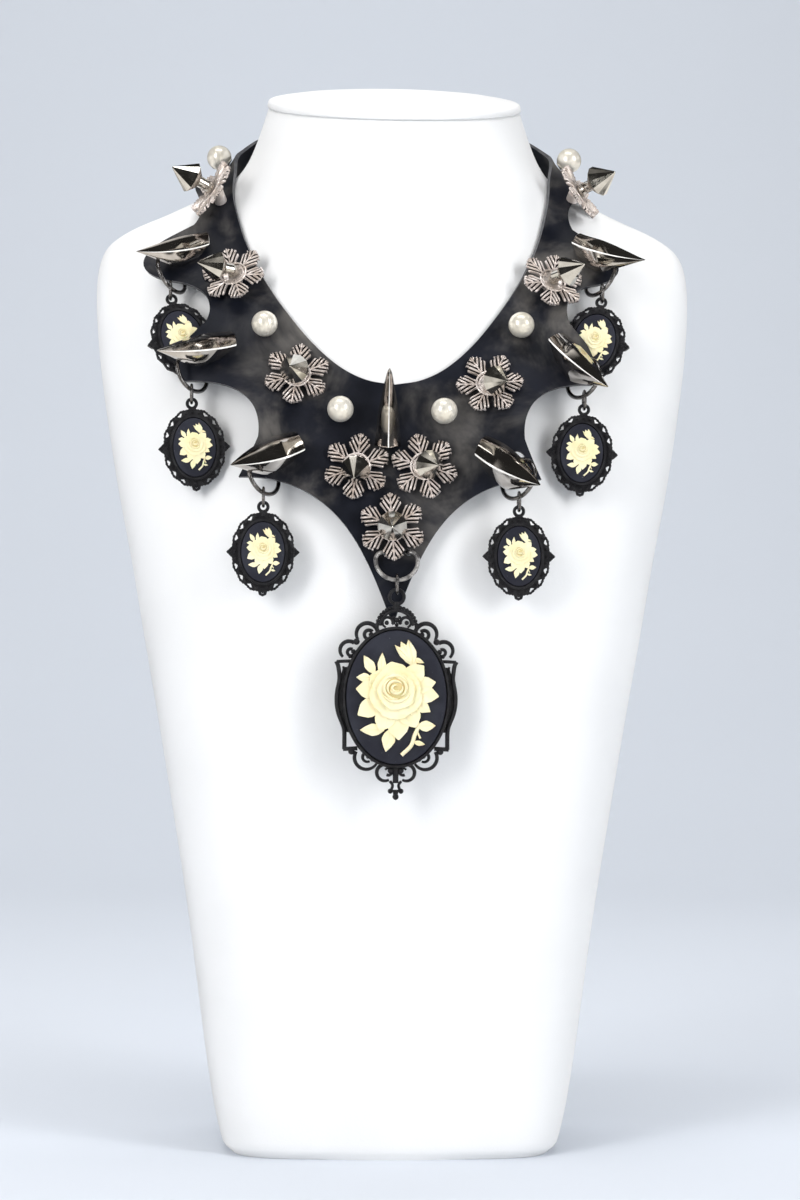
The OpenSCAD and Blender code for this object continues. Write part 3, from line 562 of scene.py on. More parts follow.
# Studs
CLAW_WIDTHS = [  # place along the claw, full claw, slim claw
    [0, 0.84, 0.87], [0.12, 0.92, 0.8], [0.3, 1, 0.72], [0.45, 0.93, 0.65], [0.6, 0.76, 0.53],
    [0.75, 0.52, 0.38], [0.88, 0.27, 0.26], [0.96, 0.11, 0.15], [1, 0.03, 0.04]]
RIDGE_STRIP = 7  # the one strip of faces across a claw that lies on its ridge


def claw(i, row):
    angle, level, direction, length, wide, lift, height, lean, slant, slim = row
    u = np.concatenate([[0, 0.012], np.linspace(0.04, 0.96, 30), [0.98, 0.993, 1]])
    widths = read(CLAW_WIDTHS, u)
    k = widths[:, 1] + slim * (widths[:, 2] - widths[:, 1])
    k[0] *= 0.965
    # flat facets either side of a narrow ridge, and a steeper bevel below them
    half = np.array([0.05, 0.2, 0.4, 0.6, 0.76, 0.82, 0.9, 1])
    fall = np.array([0.97, 0.865, 0.72, 0.565, 0.43, 0.36, 0.24, 0.08])
    inner = np.linspace(0.86, -0.86, 13)
    across = np.concatenate([-half[::-1], half, inner])
    up = np.concatenate([fall[::-1], fall, 0.66 * (1 - (np.abs(inner) / 0.86) ** 1.6)])
    y = across[None, :] * (CLAW_W * wide / 2 * k)[:, None]
    z = up[None, :] * (height * k)[:, None]
    x = CLAW_L * length * u[:, None] + (slant * y - CLAW_RAKE * z) * (1 - u[:, None])
    pts = np.stack([x, y + lean * z, (lift * u**1.6)[:, None] + z], -1)
    n, m = pts.shape[:2]
    faces = grid(n, m, False, True)
    s = Shape().add((pts, faces + caps(n, m)),
                    face_to(seat(angle, level), sheet_out(angle, level)) @ turn(0, 0, direction))
    # the ridge strip takes the near-white paint, a painted highlight along the ridge
    s.m = [1 if j % m == RIDGE_STRIP and j < len(faces) else 0 for j in range(len(s.f))]
    piece(f"claw_shell_{i}", s, [LOOK["claw"], LOOK["ridge"]], ROOT, [f"claw_{i}"], 24)


PETAL = [  # distance from the flower's middle, half width
    [2.4, 1.25], [4, 1.7], [5.4, 2.3], [6.8, 2.9], [8, 3.1], [9, 2.7], [9.8, 1.7], [10.25, 0.6]]
VEIN_SLANT, VEIN_STEP = 1.65, 2.25


def veined_petal():
    x = np.linspace(2.4, 10.2, 44)[:, None]
    v = np.linspace(-1, 1, 33)[None, :]
    w = np.interp(x, [r[0] for r in PETAL], [r[1] for r in PETAL])
    # fingers: the veins run out to the edge at a slant, and the edge dips between them
    lobe = np.cos(2 * math.pi * (x - VEIN_SLANT * w) / VEIN_STEP)
    w = w * (1 + 0.17 * (lobe - 0.4) * np.clip((x - 3.2) / 1.6, 0, 1))
    y = v * w
    x = np.broadcast_to(x, y.shape) + 0.3 * (1 - v**2) * np.clip((x - 8.5) / 1.7, 0, 1)
    ay = np.abs(y)
    rib = np.exp(-((y / 0.3) ** 2))
    bars = (0.5 + 0.5 * np.cos(2 * math.pi * (x - VEIN_SLANT * ay) / VEIN_STEP)) ** 0.75
    bars *= 1 - 0.9 * np.exp(-((ay / 0.42) ** 2))
    high = np.maximum(rib, bars)
    edge = np.clip((1 - np.abs(v)) / 0.1, 0, 1)
    rise = 0.85 * high * (0.5 + 0.5 * edge)
    z = 0.3 + rise - 0.035 * y**2 + 0.12 * np.sin((x - 2.4) / 7.8 * math.pi)
    top = np.stack([x, y, z], -1)
    low = np.stack([x, y, np.zeros_like(x) - 0.02 * y**2], -1)
    deep = np.concatenate([(1 - high).reshape(-1), np.full(x.size, 0.6)])
    return slab(top, low), deep


def flower(i, row):
    angle, level, lift, lean, spin = row
    base = face_to(seat(angle, level, lift), sheet_out(angle, level)) @ turn(0, -lean)
    s = Shape()
    hub = [(0.5, 0), (3.3, 0), (3.6, 0.3), (3.6, 1.05), (3.35, 1.35), (3.0, 1.4), (2.7, 1.2), (0.5, 1.2)]
    s.add(lathe(hub, 32), base, deep=0.35)
    s.add(ring(4.05, 0.7, 40, 8), base @ move([0, 0, 1.5]))
    if lift > 1:
        s.add(lathe([(0.3, 0), (2, 0), (2, lift + 0.4), (0.3, lift + 0.5)], 24),
              face_to(seat(angle, level), sheet_out(angle, level)), deep=0.35)
    made, deep = veined_petal()
    for k in range(6):
        s.add(made, base @ turn(0, 0, spin + 60 * k) @ turn(0, -7), deep=deep)
    piece(f"flower_cast_{i}", s, [LOOK["flower"]], ROOT, [f"flower_{i}"], 50)
    side, tip, neck, k = STUDS[i - 1]
    foot = base @ move([0, 0, 1.4 + GAP]) @ zoom(k)
    bend = foot @ move([0, 0, KNEE]) @ turn(0, 0, side) @ turn(0, tip)
    cone = Shape().add(lathe([(0.6, 0), (1.62, 0), (1.62, 1.7), (0.6, 1.9)], 24), foot)
    cone.add(ball((0, 0, 0), 1.62, 24), bend)
    cone.add(lathe([(1.62, -0.3), (1.62, neck - 0.2), (2.1, neck - 0.1)], 24), bend)
    cone.add(lathe([(2.3, neck - 0.5), (4.42, neck + 1.4), (4.5, neck + 1.5), (4.44, neck + 1.62),
                    (0.3, neck + 7.8), (0.12, neck + 7.9)], 12), bend)
    piece(f"cone_stud_{i}", cone, [LOOK["stud"]], ROOT, [f"spike_{i}"], 12)


def pearl(i, row):
    base = face_to(seat(row[0], row[1], 0.35), sheet_out(row[0], row[1]))
    s = Shape().add(ball((0, 0, 3.6), 4, 40), base)
    s.add(lathe([(1.5, 0), (2.2, 0), (2.2, 0.9)], 24), base)
    piece(f"pearl_bead_{i}", s, [LOOK["pearl"]], ROOT, [f"pearl_{i}"], 60)


def clasp():
    back = (180, 315)
    button = [(0.5, 0), (5.8, 0), (6, 0.25), (6, 1.1), (5.7, 1.5), (5, 1.6), (4.2, 1.62), (4, 1.9), (4, 2.5),
              (3.7, 2.75), (2, 2.8), (1.7, 2.6), (0.4, 2.55)]
    s = Shape().add(lathe(button, 48), face_to(seat(*back), sheet_out(*back)))
    piece("press_stud", s, [LOOK["wire"]], ROOT, ["clasp"], 50)


# Rings
def ring(r, wire, n=64, k=14):
    a = np.arange(n) * 2 * math.pi / n
    return tube(np.stack([r * np.cos(a), r * np.sin(a), 0 * a], -1), wire / 2, k, True)


def turned(v, pitch, yaw):
    return turn(pitch)[:3, :3] @ turn(0, 0, yaw)[:3, :3] @ np.array(v, float)


def link_middle(r):
    return (on_sheet(r[0], r[1], COLLAR_T / 2) + turned([0, 0, -2 * RING_R], r[3], r[2])
            + [0, 0, (RING_WIRE + LINK_WIRE) / 2 + r[7] - LINK_R])


def links(i, r):
    top = on_sheet(r[0], r[1], COLLAR_T / 2)
    hang = move(top) @ turn(r[3]) @ turn(0, 0, r[2]) @ move([0, 0, -RING_R]) @ turn(90)
    s = Shape().add(ring(RING_R, RING_WIRE), hang)
    s.add(ring(LINK_R, LINK_WIRE, 48, 12), move(link_middle(r)) @ turn(0, 90))
    piece(f"ring_and_link_{i}", s, [LOOK["wire"]], ROOT, [f"links_{i}"], 60)


FRONT_Y = on_sheet(COLLAR_TURN, 185, COLLAR_T)[1] - RING_WIRE / 2 - GAP
BENDS = [  # the ring's path through the slots: sideways, up, back
    [6.35, 0.7, 0], [6.05, 1.6, 0], [5.45, 2.35, 0], [4.6, 2.75, 0.1], [3.95, 2.85, 0.4],
    [3.65, 2.85, 1.1], [3.6, 2.85, 2.1], [3.45, 2.85, 2.9], [2.9, 2.85, 3.35], [1.8, 2.85, 3.4]]


def main_at(x, up, back):
    s, c = math.sin(math.radians(MAIN_PITCH)), math.cos(math.radians(MAIN_PITCH))
    return [MAIN_X + x, FRONT_Y - (BAR_UP - up) * s + back, MAIN_Z + up * c]


MAIN_BOTTOM = np.array(main_at(0, -RING_R, 0))
MAIN_LINK = MAIN_BOTTOM + [0, 0, (RING_WIRE + LINK_WIRE) / 2 + PLAY - LINK_R]
MAIN_EYE = MAIN_LINK + [0, 0, (LINK_WIRE + EYE_WIRE) / 2 + PLAY - LINK_R]


def between(a, b, c, d, t):
    """The point t of the way from b to c, on a curve that a and d bend."""
    return 0.5 * (2 * b + (c - a) * t + (2 * a - 5 * b + 4 * c - d) * t**2 + (3 * b - a - 3 * c + d) * t**3)


def smooth_loop(p, n):
    """A closed path through points, with n steps for each."""
    p = np.array(p, float)
    a, b, c, d = np.roll(p, 1, 0), p, np.roll(p, -1, 0), np.roll(p, -2, 0)
    t = (np.arange(n) / n)[None, :, None]
    a, b, c, d = (q[:, None] for q in (a, b, c, d))
    return between(a, b, c, d, t).reshape(-1, 3)


def main_ring():
    half = np.radians(range(180, 361, 15))
    path = [main_at(RING_R * math.cos(a), RING_R * math.sin(a), 0) for a in half]
    path += [main_at(*q) for q in BENDS] + [main_at(-q[0], q[1], q[2]) for q in reversed(BENDS)]
    c, s = math.cos(math.radians(MAIN_PITCH)), math.sin(math.radians(MAIN_PITCH))
    sh = Shape().add(tube(smooth_loop(path, 4), RING_WIRE / 2, 14, True, (0, c, -s)))
    piece("main_ring_wire", sh, [LOOK["ridged"]], ROOT, ["main_ring"], 60)
    sh = Shape().add(ring(LINK_R, LINK_WIRE, 48, 12), move(MAIN_LINK) @ turn(0, 90))
    piece("main_link_wire", sh, [LOOK["wire"]], LINK, ["main_link"], 60)


# Main pendant
IN_MAIN = move(MAIN_EYE + [0, FRAME_T / 2, -MAIN_EYE_R - EYE_UP]) @ turn(90)
RAIL = [[-18, 10.7], [-17.4, 9.2], [-17, 6], [-17.2, 4], [-17.6, 2], [-17.8, -0.2], [-17.7, -2.6],
        [-17.2, -5], [-16.3, -7.3], [-15.5, -9.7], [-15.4, -12.8], [-15.4, -15.6]]
SCROLLS = [  # middle, radius, from, to, width
    [(-14.2, 14), 3.3, 55, 228, 1.2], [(-13.7, 13.4), 1.5, 60, 330, 1], [(-8.8, 18.9), 3.9, 5, 212, 1.3],
    [(-8.3, 18.7), 1.9, 40, 330, 1.1], [(-8.8, -18), 4.1, 150, 330, 1.1], [(-8.5, -17.9), 1.9, 20, 300, 1],
    [(-3.2, -22.5), 3, 110, 300, 1.1], [(-2.2, -22.2), 1.5, -120, 150, 0.9], [(-2.7, 22.4), 2, -20, 250, 0.9]]
BARS = [[[(-17.9, 10.6), (-13.6, 10.8)], 1], [[(-15.8, -15.5), (-11.5, -15.3)], 1.3],
        [[(-1.7, -25), (-0.9, -26.3), (-1.4, -28)], 0.9]]
BEADS = [  # left half of the frame: x, y, radius
    (-12, 16.6, 1), (-13.3, -16.2, 1), (-1.6, -28, 0.8), (-12.9, 13.6, 0.75), (-13.9, 12.2, 0.65),
    (-12.7, 12.3, 0.6), (-7.6, 18.7, 0.8), (-8.9, 17.4, 0.7), (-7.3, 17.3, 0.65), (-8.2, -17.6, 0.8),
    (-7.0, -18.6, 0.65), (-9.4, -16.6, 0.65), (-1.6, -21.9, 0.85), (-3.0, 22.3, 0.7), (-5.9, 21.2, 0.6)]
MID_BEADS = [  # on the middle line: x, y, radius
    (0, 23.1, 0.85), (-1.0, 22.3, 0.6), (1.0, 22.3, 0.6), (0, 21.7, 0.6), (-0.9, 23.9, 0.5), (0.9, 23.9, 0.5),
    (0, -29.7, 0.95)]
MID_STEMS = [  # on the middle line: from, to, radius along the way
    [-20.6, -25.6, [1.5, 1.25, 1.0, 0.85, 0.85, 0.95]], [-27.6, -29.2, [1.4, 1.2, 0.9, 0.8, 0.75, 0.75]],
    [25.9, 28.6, 1.05]]
OVAL_WALL = [  # outset from the cameo, height
    (0.27, 0.8), (0.27, 2.55), (0.4, 2.8), (0.68, 2.9), (0.95, 2.75), (1.1, 2.35), (1.2, 1.9), (1.2, 0.02),
    (0.27, 0.0)]
CREST_Y, CREST_R, CREST_BEAD_R = 21, 5.05, 5.95
FLOOR_A, FLOOR_B = 15.6, 20.6


def flat_path(points, z=0.8):
    p = np.array(points, float)
    return np.column_stack([p, np.full(len(p), z)])


def oval_loop(a, b, n):
    t = np.arange(n) * 2 * math.pi / n
    return np.stack([a * np.cos(t), b * np.sin(t)], -1)


def moulding(a, b, profile, n):
    """Sweeps (outset, height) pairs round an oval."""
    p = np.array(profile, float)
    pts = np.stack([np.column_stack([oval_loop(a + o, b + o, n), np.full(n, z)]) for o, z in p], 1)
    return pts, grid(n, len(p), True, True)


def oval_plate(a, b, rows, n):
    """A closed oval through (scale, height) pairs."""
    pts = np.stack([np.column_stack([oval_loop(a * k, b * k, n), np.full(n, z)]) for k, z in rows], 0)
    return pts, grid(len(rows), n, False, True) + caps(len(rows), n)


def mirrored(v, f):
    return v.reshape(-1, 3) * [-1, 1, 1], f


def soften(points, n=5):
    """A finer open path through points."""
    p = np.array(points, float)
    p = np.concatenate([[2 * p[0] - p[1]], p, [2 * p[-1] - p[-2]]])
    out = []
    for k in range(1, len(p) - 2):
        t = (np.arange(n) / n)[:, None]
        a, b, c, d = p[k - 1], p[k], p[k + 1], p[k + 2]
        out.append(between(a, b, c, d, t))
    return np.concatenate(out + [p[-2][None]])


def main_frame():
    s = Shape()

    def both(made, deep=0.0):
        s.add(made, IN_MAIN, deep=deep)
        s.add(mirrored(*made), IN_MAIN, deep=deep)

    both(tube(flat_path(soften(RAIL)), 0.66, 12, tall=1.2))
    both(tube(flat_path(soften([(p[0] + 1.5, p[1]) for p in RAIL[1:10]]), 0.7), 0.35, 8))
    for (cx, cy), r, a0, a1, w in SCROLLS:
        a = np.radians(np.linspace(a0, a1, 26))
        path = np.stack([cx + (r - w / 2) * np.cos(a), cy + (r - w / 2) * np.sin(a)], -1)
        taper = w / 2 * (1.05 - 0.35 * np.linspace(0, 1, 26) ** 3)
        both(tube(flat_path(path), taper, 10, tall=0.8 / (w / 2)))
    for points, w in BARS:
        both(tube(flat_path(soften(points, 4)), w / 2, 10, tall=0.8 / (w / 2)))
    for x, y, r in BEADS:
        both(ball((x, y, 1.2), r, 12))
    a = np.radians(np.linspace(5, 175, 40))
    crest = np.stack([CREST_R * np.cos(a), CREST_Y + CREST_R * np.sin(a)], -1)
    s.add(tube(flat_path(crest), 0.55, 10, tall=1.45), IN_MAIN)
    for a in np.radians(np.arange(8, 173, 10.25)):
        x, y = CREST_BEAD_R * math.cos(a), CREST_Y + CREST_BEAD_R * math.sin(a)
        s.add(ball((x, y, 0.9), 0.62, 10, 1.15), IN_MAIN)
    for x, y, r in MID_BEADS:
        s.add(ball((x, y, 1.2), r, 12), IN_MAIN)
    for start, end, r in MID_STEMS:
        y = np.linspace(start, end, 6)
        s.add(tube(flat_path(np.stack([0 * y, y], -1)), r, 12, tall=0.75), IN_MAIN)
    # stepped wall of the oval, plates behind the sides, floor
    s.add(moulding(CAMEO_W / 2, CAMEO_H / 2, OVAL_WALL, 160), IN_MAIN)
    y = np.linspace(-10.5, 9, 25)
    edge = np.stack([17.2 * np.sqrt(1 - (y / 24) ** 2), y], -1)
    wall = np.stack([FLOOR_A * np.sqrt(1 - (y / FLOOR_B) ** 2), y], -1)
    for x in (1, -1):
        top = np.stack([np.column_stack([e * [x, 1], np.full(25, 0.8)]) for e in (edge, wall)], 0)
        low = top * [1, 1, 0]
        s.add(slab(top, low), IN_MAIN, deep=0.5)
    s.add(oval_plate(FLOOR_A, FLOOR_B, [(1, FLOOR_T), (1, 0.0)], 96), IN_MAIN)
    s.add(ring(MAIN_EYE_R, EYE_WIRE, 48, 12), IN_MAIN @ move([0, EYE_UP, FRAME_T / 2]))
    piece("main_frame_cast", s, [LOOK["frame"]], PENDANT, ["main_frame"], 50)

    rows = [(1, 1.05), (1, 2.5), (0.993, 2.68), (0.98, 2.75), (0.6, 2.76), (0.2, 2.76)]
    sh = Shape().add(oval_plate(CAMEO_W / 2, CAMEO_H / 2, rows, 128), IN_MAIN)
    piece("main_cameo_plate", sh, [LOOK["ground"]], PENDANT, ["main_cameo"], 40)


# Rose
BLOOM = np.array([-0.1, 2.1])
OUTER = [  # direction, reach, half width, height of the lip
    [100, 8.6, 4.6, 1.2], [150, 9, 4, 1.15], [-147, 13.6, 3.2, 1.2], [178, 12, 3, 1.35],
    [-112, 13, 3.4, 1.3], [-62, 12.5, 3.6, 1.3], [-87, 14.8, 3.6, 1.15], [-32, 12, 2.2, 1.2],
    [42, 11, 3.2, 1.4], [12, 12, 2.6, 1.3], [-8, 12.8, 2.8, 1.4]]
MIDDLE = [
    [75, 6.9, 4.2, 1.9], [10, 7.2, 4, 1.8], [-42, 8.2, 4.2, 1.75], [-95, 8.6, 4.6, 1.7],
    [-150, 8.2, 4.2, 1.75], [145, 7.2, 4.2, 1.85]]
CUP = [
    [60, 5.2, 3.6, 2.4], [-10, 5.4, 3.6, 2.35], [-75, 5.6, 4.2, 2.2], [-150, 5.4, 3.8, 2.3],
    [135, 5.2, 3.6, 2.45]]
LEAVES = [  # foot, tip, half width
    [(-6.6, 7), (-9.8, 12.4), 1.6], [(-4.6, 6.6), (-4.3, 13.3), 1.3], [(-7.6, 5.8), (-12, 5.9), 1.4],
    [(-3.6, -9.6), (-10.8, -9.8), 1.9], [(-1.6, -9.4), (-3.1, -16.2), 2.1], [(6.4, -8.6), (11.7, -8.4), 1.7],
    [(4.9, 11.6), (8.2, 10.3), 0.8], [(5.2, -13.3), (8.6, -14), 0.8]]
BUD = [  # foot, tip, half width, height
    [(4.8, 9.6), (1.2, 16.6), 1.9, 1.1], [(4.9, 9.8), (3.4, 17.2), 1.7, 1.5],
    [(4.5, 10.2), (-0.6, 15.6), 1.2, 1.3]]
STEMS = [  # points, radius
    [[(3.5, -4), (6.4, -8), (5.4, -11.5), (4.4, -14.4), (1.6, -17.2)], 0.62],
    [[(3.2, 6), (5.6, 8.6), (4.6, 12)], 0.6], [[(6, -9.6), (7.2, -12.2)], 0.3]]
HEART = [  # folds: radius, from, to, height, width
    [4.3, 200, 340, 2.3, 0.6], [3.9, 20, 150, 2.45, 0.55], [3.3, 120, 280, 2.6, 0.5],
    [3.0, -60, 90, 2.65, 0.5], [2.2, 30, 230, 2.9, 0.45], [1.7, 200, 380, 3.0, 0.42],
    [0.9, 60, 330, 3.05, 0.4]]


def rose_petal(row, low, inner, tip, fine):
    d, reach, w, lip = row
    nu, nv = int(13 * fine), int(11 * fine) | 1
    u = np.linspace(0, 1, nu)[:, None]
    v = np.linspace(-1, 1, nv)[None, :]
    left = np.interp(u, *zip(*tip[0]))
    right = np.interp(u, *zip(*tip[1]))
    r = 0.8 + (reach - 0.8) * u
    y = np.where(v < 0, v * left, v * right) * w
    roll = 0.25 * np.abs(v) ** 3 * np.sin(np.pi * np.clip(u, 0, 1))
    dent = 0.12 * (1 - np.abs(v)) * np.sin(np.pi * u)
    z = inner + (lip - inner) * u**2.4 + roll - dent + 0.05 * np.sin(9 * v * u)
    x = np.broadcast_to(r, y.shape)
    top = np.stack([x, y, np.broadcast_to(z, y.shape)], -1)
    bottom = top * [1, 1, 0] + [0, 0, low]
    # painted shade: darker towards each petal's foot in the bloom's middle, less at its sides
    shade = np.clip(0.9 - 1.6 * u + 0.1 * np.abs(v), 0, 0.7) * (1 - 0.7 * np.abs(v) ** 3)
    deep = np.broadcast_to(shade, y.shape)
    place = move([*BLOOM, 0]) @ turn(0, 0, d)
    return slab(top, bottom), place, np.concatenate([deep.reshape(-1), np.full(x.size, 0.3)])


def leaf(foot, tip, w, high, fine):
    foot, tip = np.array(foot, float), np.array(tip, float)
    along = tip - foot
    side = np.array([-along[1], along[0]]) / np.linalg.norm(along)
    u = np.linspace(0, 1, int(14 * fine))[:, None, None]
    v = np.linspace(-1, 1, int(9 * fine) | 1)[None, :, None]
    wide = np.interp(u[:, 0, 0], [0, 0.25, 0.5, 0.8, 1], [0.2, 0.8, 1, 0.52, 0.04])[:, None, None]
    flat = foot + along * u + side * (v * wide * w)
    vein = 0.06 * np.cos((u * 9 - np.abs(v) * 2.2) * 2 * np.pi / 1.4)
    z = high * (0.62 + 0.3 * (1 - v**2) - 0.2 * np.exp(-((v / 0.14) ** 2))) + vein * (1 - np.abs(v))
    z = np.broadcast_to(z, flat.shape[:2] + (1,))
    # painted shade in the groove along each leaf's middle
    deep = np.broadcast_to(0.35 * np.exp(-((v / 0.16) ** 2)), z.shape)
    top = np.concatenate([flat, z], -1)
    return slab(top, top * [1, 1, 0]), np.concatenate([deep.reshape(-1), np.full(z.size, 0.2)])


POINTED = (  # place along the petal and width, for its left and its right half
    [(0, 0.35), (0.42, 1), (0.8, 0.8), (1, 0.05)],
    [(0, 0.35), (0.42, 1), (0.8, 0.85), (0.93, 0.35), (1, 0.06)])
ROUND = (
    [(0, 0.4), (0.45, 0.95), (0.75, 1), (0.92, 0.72), (1, 0.3)],
    [(0, 0.4), (0.45, 0.95), (0.75, 1), (0.92, 0.7), (1, 0.28)])


def rose(fine=1.0):
    s = Shape()
    for row in LEAVES:
        made, deep = leaf(*row, 0.95, fine)
        s.add(made, deep=deep)
    for foot, tip, w, high in BUD:
        made, deep = leaf(foot, tip, w, high, fine)
        s.add(made, deep=deep)
    for path, r in STEMS:
        s.add(tube(flat_path(soften(path, 4), 0.4), r, 8))
    for rows, low, inner, tip in ((OUTER, 0, 0.75, POINTED), (MIDDLE, 0, 1.1, ROUND), (CUP, 0.2, 1.6, ROUND)):
        for row in rows:
            made, place, deep = rose_petal(row, low, inner, tip, fine)
            s.add(made, place, deep=deep)
    # folded heart of the bloom
    for r, a0, a1, z, wide in HEART:
        a = np.radians(np.linspace(a0, a1, int(18 * fine)))
        k = np.linspace(0, 1, len(a))
        x = BLOOM[0] - 0.2 + (r + 0.35 * k) * np.cos(a)
        y = BLOOM[1] + 0.7 + (r + 0.35 * k) * np.sin(a) * 0.9
        path = np.stack([x, y, np.full(len(a), z - 0.55)], -1)
        taper = np.sqrt(np.clip(np.sin(np.pi * np.clip(k, 0.02, 0.98)), 0.05, 1))
        s.add(tube(path, wide * taper, 8, tall=1.3), deep=0.12)
    # the folds carry a little painted shade, and the dome under them much more, as the bloom's shaded core
    s.add(ball((BLOOM[0] - 0.2, BLOOM[1] + 0.7, 0.9), 3.9, int(24 * fine), 0.4), deep=0.75)
    return s


def main_rose():
    s = Shape().merge(rose(), IN_MAIN @ move([0, 0, FLOOR_T + GAP + 1.7 + 0.15]))
    piece("main_rose_relief", s, [LOOK["cream"]], PENDANT, ["main_rose"], 45)


# Small pendants
ROSE_SPAN = 43  # the height that the large rose's relief is scaled from
LOBE_ANGLES = [
    0, 12, 32, 52.5, 76, 90, 104, 127.5, 148, 168, 180, 192, 212, 232.5, 256, 270, 284, 307.5, 328, 348]
SIDE_BEADS = [  # x, y, radius
    (10.3, 0, 0.6), (9.4, 1.0, 0.5), (9.4, -1.0, 0.5), (-10.3, 0, 0.6), (-9.4, 1.0, 0.5), (-9.4, -1.0, 0.5)]
DROP_WALL = [  # outset from the cameo, height
    (0.27, 0.8), (0.27, 2.05), (0.4, 2.25), (0.65, 2.32), (0.9, 2.15), (1.0, 1.8), (1.05, 0.9)]


def drop(i, r, relief):
    eye = link_middle(r) + [0, 0, (LINK_WIRE + EYE_WIRE) / 2 + LINK_GAP - LINK_R]
    hang = move(eye) @ turn(r[6], r[4]) @ turn(0, 0, r[5])
    place = hang @ move([0, DROP_T / 2, -EYE_R - DROP_EYE_UP]) @ turn(90)
    s = Shape()
    # rope rim over the lobes, moulded wall of the oval, beads between the gaps and at the side points
    a = np.radians(np.arange(0, 360, 1.875))
    k = 0.16 * np.cos(16 * a)
    s.add(tube(np.stack([(9.2 + k) * np.cos(a), (11.75 + k) * np.sin(a), 0 * a + 0.95], -1),
               0.36 + 0.1 * np.cos(64 * a), 8, True), place)
    s.add(moulding(DROP_W / 2, DROP_H / 2, DROP_WALL, 96), place)
    for q in np.radians(LOBE_ANGLES):
        x, y = 8.5 * math.cos(q), 11.05 * math.sin(q)
        s.add(ball((x, y, 1.05), 0.6, 10, 0.85), place)
    for x, y, b in SIDE_BEADS:
        s.add(ball((x, y, 1.1), b, 10, 0.8), place)
    piece(f"drop_trim_{i}", s, [LOOK["frame"]], ROOT, [], 50)
    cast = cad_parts[f"frame_{i}"]
    cast.data.materials.clear()
    cast.data.materials.append(LOOK["frame"])
    rows = [(1, 1.05), (1, 2.15), (0.985, 2.3), (0.96, 2.35), (0.6, 2.36), (0.2, 2.36)]
    sh = Shape().add(oval_plate(DROP_W / 2, DROP_H / 2, rows, 96), place)
    piece(f"drop_cameo_plate_{i}", sh, [LOOK["ground"]], ROOT, [], 40)
    sh = Shape().merge(relief, place @ move([0.2, 0.2, 2.25]) @ zoom(DROP_H / ROSE_SPAN))
    piece(f"drop_rose_{i}", sh, [LOOK["cream"]], ROOT, [f"cameo_{i}"], 45)


bust()
collar()
for i, row in enumerate(CLAWS):
    claw(i + 1, row)
for i, row in enumerate(FLOWERS):
    flower(i + 1, row)
for i, row in enumerate(PEARLS):
    pearl(i + 1, row)
clasp()
for i, row in enumerate(SIDE_RINGS):
    links(i + 1, row)
main_ring()
main_frame()
main_rose()
small = rose(0.6)
for i, row in enumerate(SIDE_RINGS):
    drop(i + 1, row, small)


# Studio
COVE_FRONT, COVE_WALL, COVE_TOP, COVE_BEND, COVE_HALF = -3.0, 2.6, 3.4, 1.6, 9.0
LAMPS = [  # name, place, aim, size, power, tint; only the strips show in the metal
    ("key", (-0.9, -1.0, 0.75), (0, 0, 0.22), (0.8, 1.1), 10, (1, 0.99, 0.98)),
    ("fill", (1.0, -0.95, 0.6), (0, 0, 0.2), (0.7, 1.1), 9, (0.98, 0.99, 1)),
    ("strip_l", (-0.75, -0.95, 0.5), (0, 0, 0.22), (0.18, 0.7), 3.2, (1, 1, 1)),
    ("strip_r", (0.85, -0.8, 0.55), (0, 0, 0.22), (0.16, 0.6), 2.6, (1, 1, 1)),
    ("strip_top", (-0.1, -0.35, 1.3), (0, 0, 0.25), (0.9, 0.16), 2.6, (1, 1, 1)),
    ("strip_low", (0.25, -1.3, -0.05), (0, 0, 0.25), (0.7, 0.12), 1.2, (1, 0.98, 0.94)),
    ("top", (0, 0.1, 1.5), (0, 0, 0.2), (1.2, 1.0), 9, (1, 1, 1)),
    ("wall", (0, 0.9, 1.9), (0, 2.3, 0.35), (2.4, 0.7), 23, (0.97, 0.985, 1))]


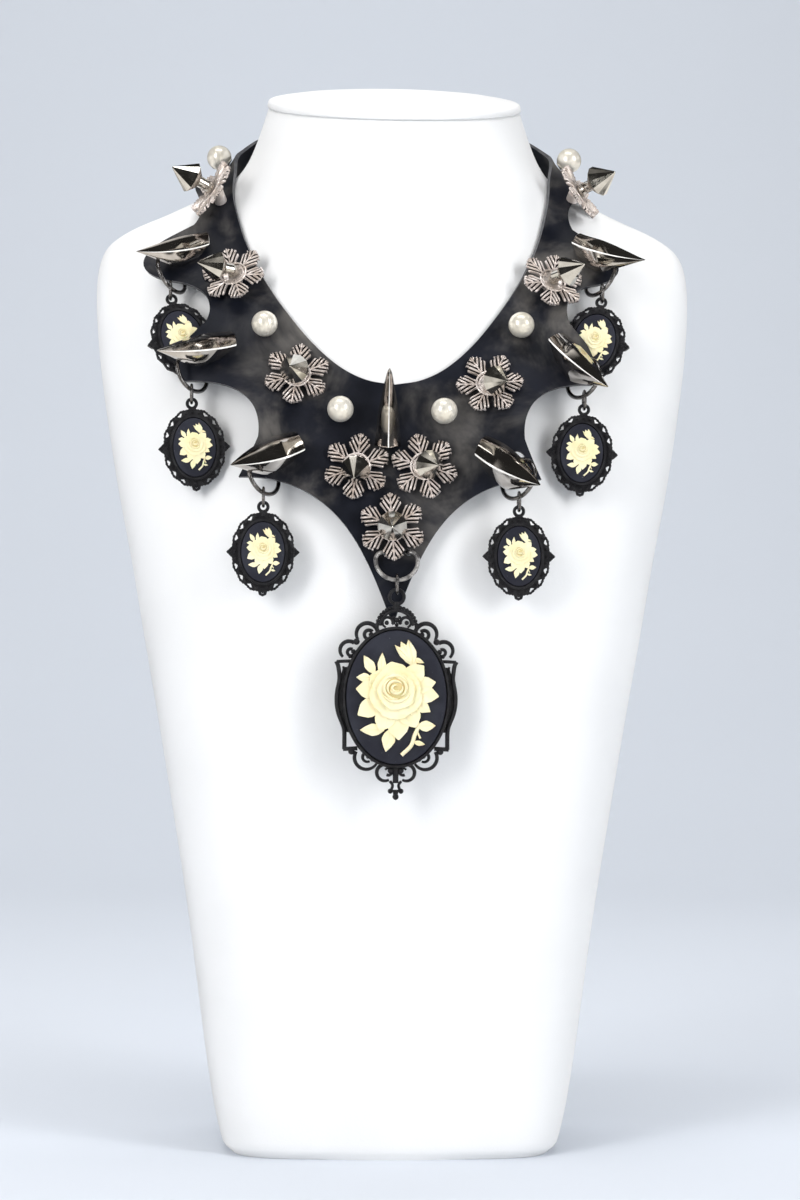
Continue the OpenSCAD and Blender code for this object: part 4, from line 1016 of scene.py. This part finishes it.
def studio():
    y1, r = COVE_WALL, COVE_BEND
    profile = [(COVE_FRONT, 0.0), (y1 - r, 0.0)]
    profile += [(y1 - r + r * math.sin(a), r - r * math.cos(a)) for a in np.linspace(0.08, math.pi / 2, 16)]
    profile += [(y1, COVE_TOP)]
    verts = [(x, y, z) for y, z in profile for x in (-COVE_HALF, COVE_HALF)]
    me = bpy.data.meshes.new("backdrop")
    me.from_pydata(verts, [], [(2 * i, 2 * i + 1, 2 * i + 3, 2 * i + 2) for i in range(len(profile) - 1)])
    me.polygons.foreach_set("use_smooth", [True] * len(me.polygons))
    p = Paint("backdrop_paper", (0.72, 0.76, 0.83), 0.9)
    p.color(p.mix(p.noise(3, 2), (0.665, 0.705, 0.77), (0.685, 0.725, 0.79)))
    me.materials.append(p.mat)
    cove = bpy.data.objects.new("backdrop", me)
    bpy.context.scene.collection.objects.link(cove)
    cove.visible_glossy = False
    for name, at, aim, size, power, tint in LAMPS:
        light = bpy.data.lights.new(name, "AREA")
        light.shape = "RECTANGLE"
        light.size, light.size_y = size
        light.energy, light.color = power, tint
        lamp = bpy.data.objects.new(name, light)
        lamp.location = at
        lamp.rotation_mode = "QUATERNION"
        lamp.rotation_quaternion = (mathutils.Vector(aim) - mathutils.Vector(at)).to_track_quat("-Z", "Y")
        lamp.visible_camera = False
        lamp.visible_glossy = name.startswith("strip")
        bpy.context.scene.collection.objects.link(lamp)
    # what bright metal shows: dark and bright patches of a room, more of them bright towards the table
    world = bpy.data.worlds.new("studio")
    world.use_nodes = True
    t = world.node_tree
    way = t.nodes.new("ShaderNodeTexCoord").outputs["Generated"]
    parts = t.nodes.new("ShaderNodeSeparateXYZ")
    t.links.new(way, parts.inputs[0])
    patches = t.nodes.new("ShaderNodeTexNoise")
    t.links.new(way, patches.inputs["Vector"])
    patches.inputs["Scale"].default_value = 2.3
    patches.inputs["Detail"].default_value = 1.0

    def span(value, low, high, a, b):
        n = t.nodes.new("ShaderNodeMapRange")
        n.interpolation_type = "SMOOTHSTEP"
        t.links.new(value, n.inputs["Value"])
        for key, x in (("From Min", low), ("From Max", high), ("To Min", a), ("To Max", b)):
            n.inputs[key].default_value = x
        return n.outputs["Result"]

    add = t.nodes.new("ShaderNodeMath")
    t.links.new(span(parts.outputs[2], -0.5, 0.5, 0.13, -0.09), add.inputs[0])
    t.links.new(patches.outputs["Fac"], add.inputs[1])
    t.links.new(span(add.outputs[0], 0.5, 0.58, 0.03, 1.1), t.nodes["Background"].inputs["Strength"])
    t.nodes["Background"].inputs["Color"].default_value = (1, 0.965, 0.91, 1)
    bpy.context.scene.world = world
    bpy.context.scene.view_settings.view_transform = "Standard"


CAMERA_YAW, CAMERA_PITCH, CAMERA_ROLL = 2.5, 2, 0.4
CAMERA_FAR, CAMERA_X, CAMERA_Z = 0.85, 0.0028, 0.143
SENSOR, FOCAL_PIXELS, PICTURE_PIXELS = 36, 2632, 1200


def camera():
    yaw, pitch, roll = math.radians(CAMERA_YAW), math.radians(CAMERA_PITCH), math.radians(CAMERA_ROLL)
    right = np.array([math.cos(yaw), -math.sin(yaw), 0])
    ahead = np.array([math.sin(yaw) * math.cos(pitch), math.cos(yaw) * math.cos(pitch), math.sin(pitch)])
    up = np.cross(right, ahead)
    x, y = math.cos(roll) * right + math.sin(roll) * up, math.cos(roll) * up - math.sin(roll) * right
    cam = bpy.data.objects.new("camera", bpy.data.cameras.new("camera"))
    cam.data.sensor_width = SENSOR
    cam.data.lens = SENSOR * FOCAL_PIXELS / PICTURE_PIXELS
    cam.data.clip_start, cam.data.clip_end = 0.05, 20
    at = (-CAMERA_FAR * math.sin(yaw) + CAMERA_X, -CAMERA_FAR * math.cos(yaw), CAMERA_Z)
    rows = [[x[k], y[k], -ahead[k], at[k]] for k in range(3)]
    cam.matrix_world = mathutils.Matrix(rows + [[0, 0, 0, 1]])
    bpy.context.scene.collection.objects.link(cam)
    bpy.context.scene.camera = cam


studio()
camera()
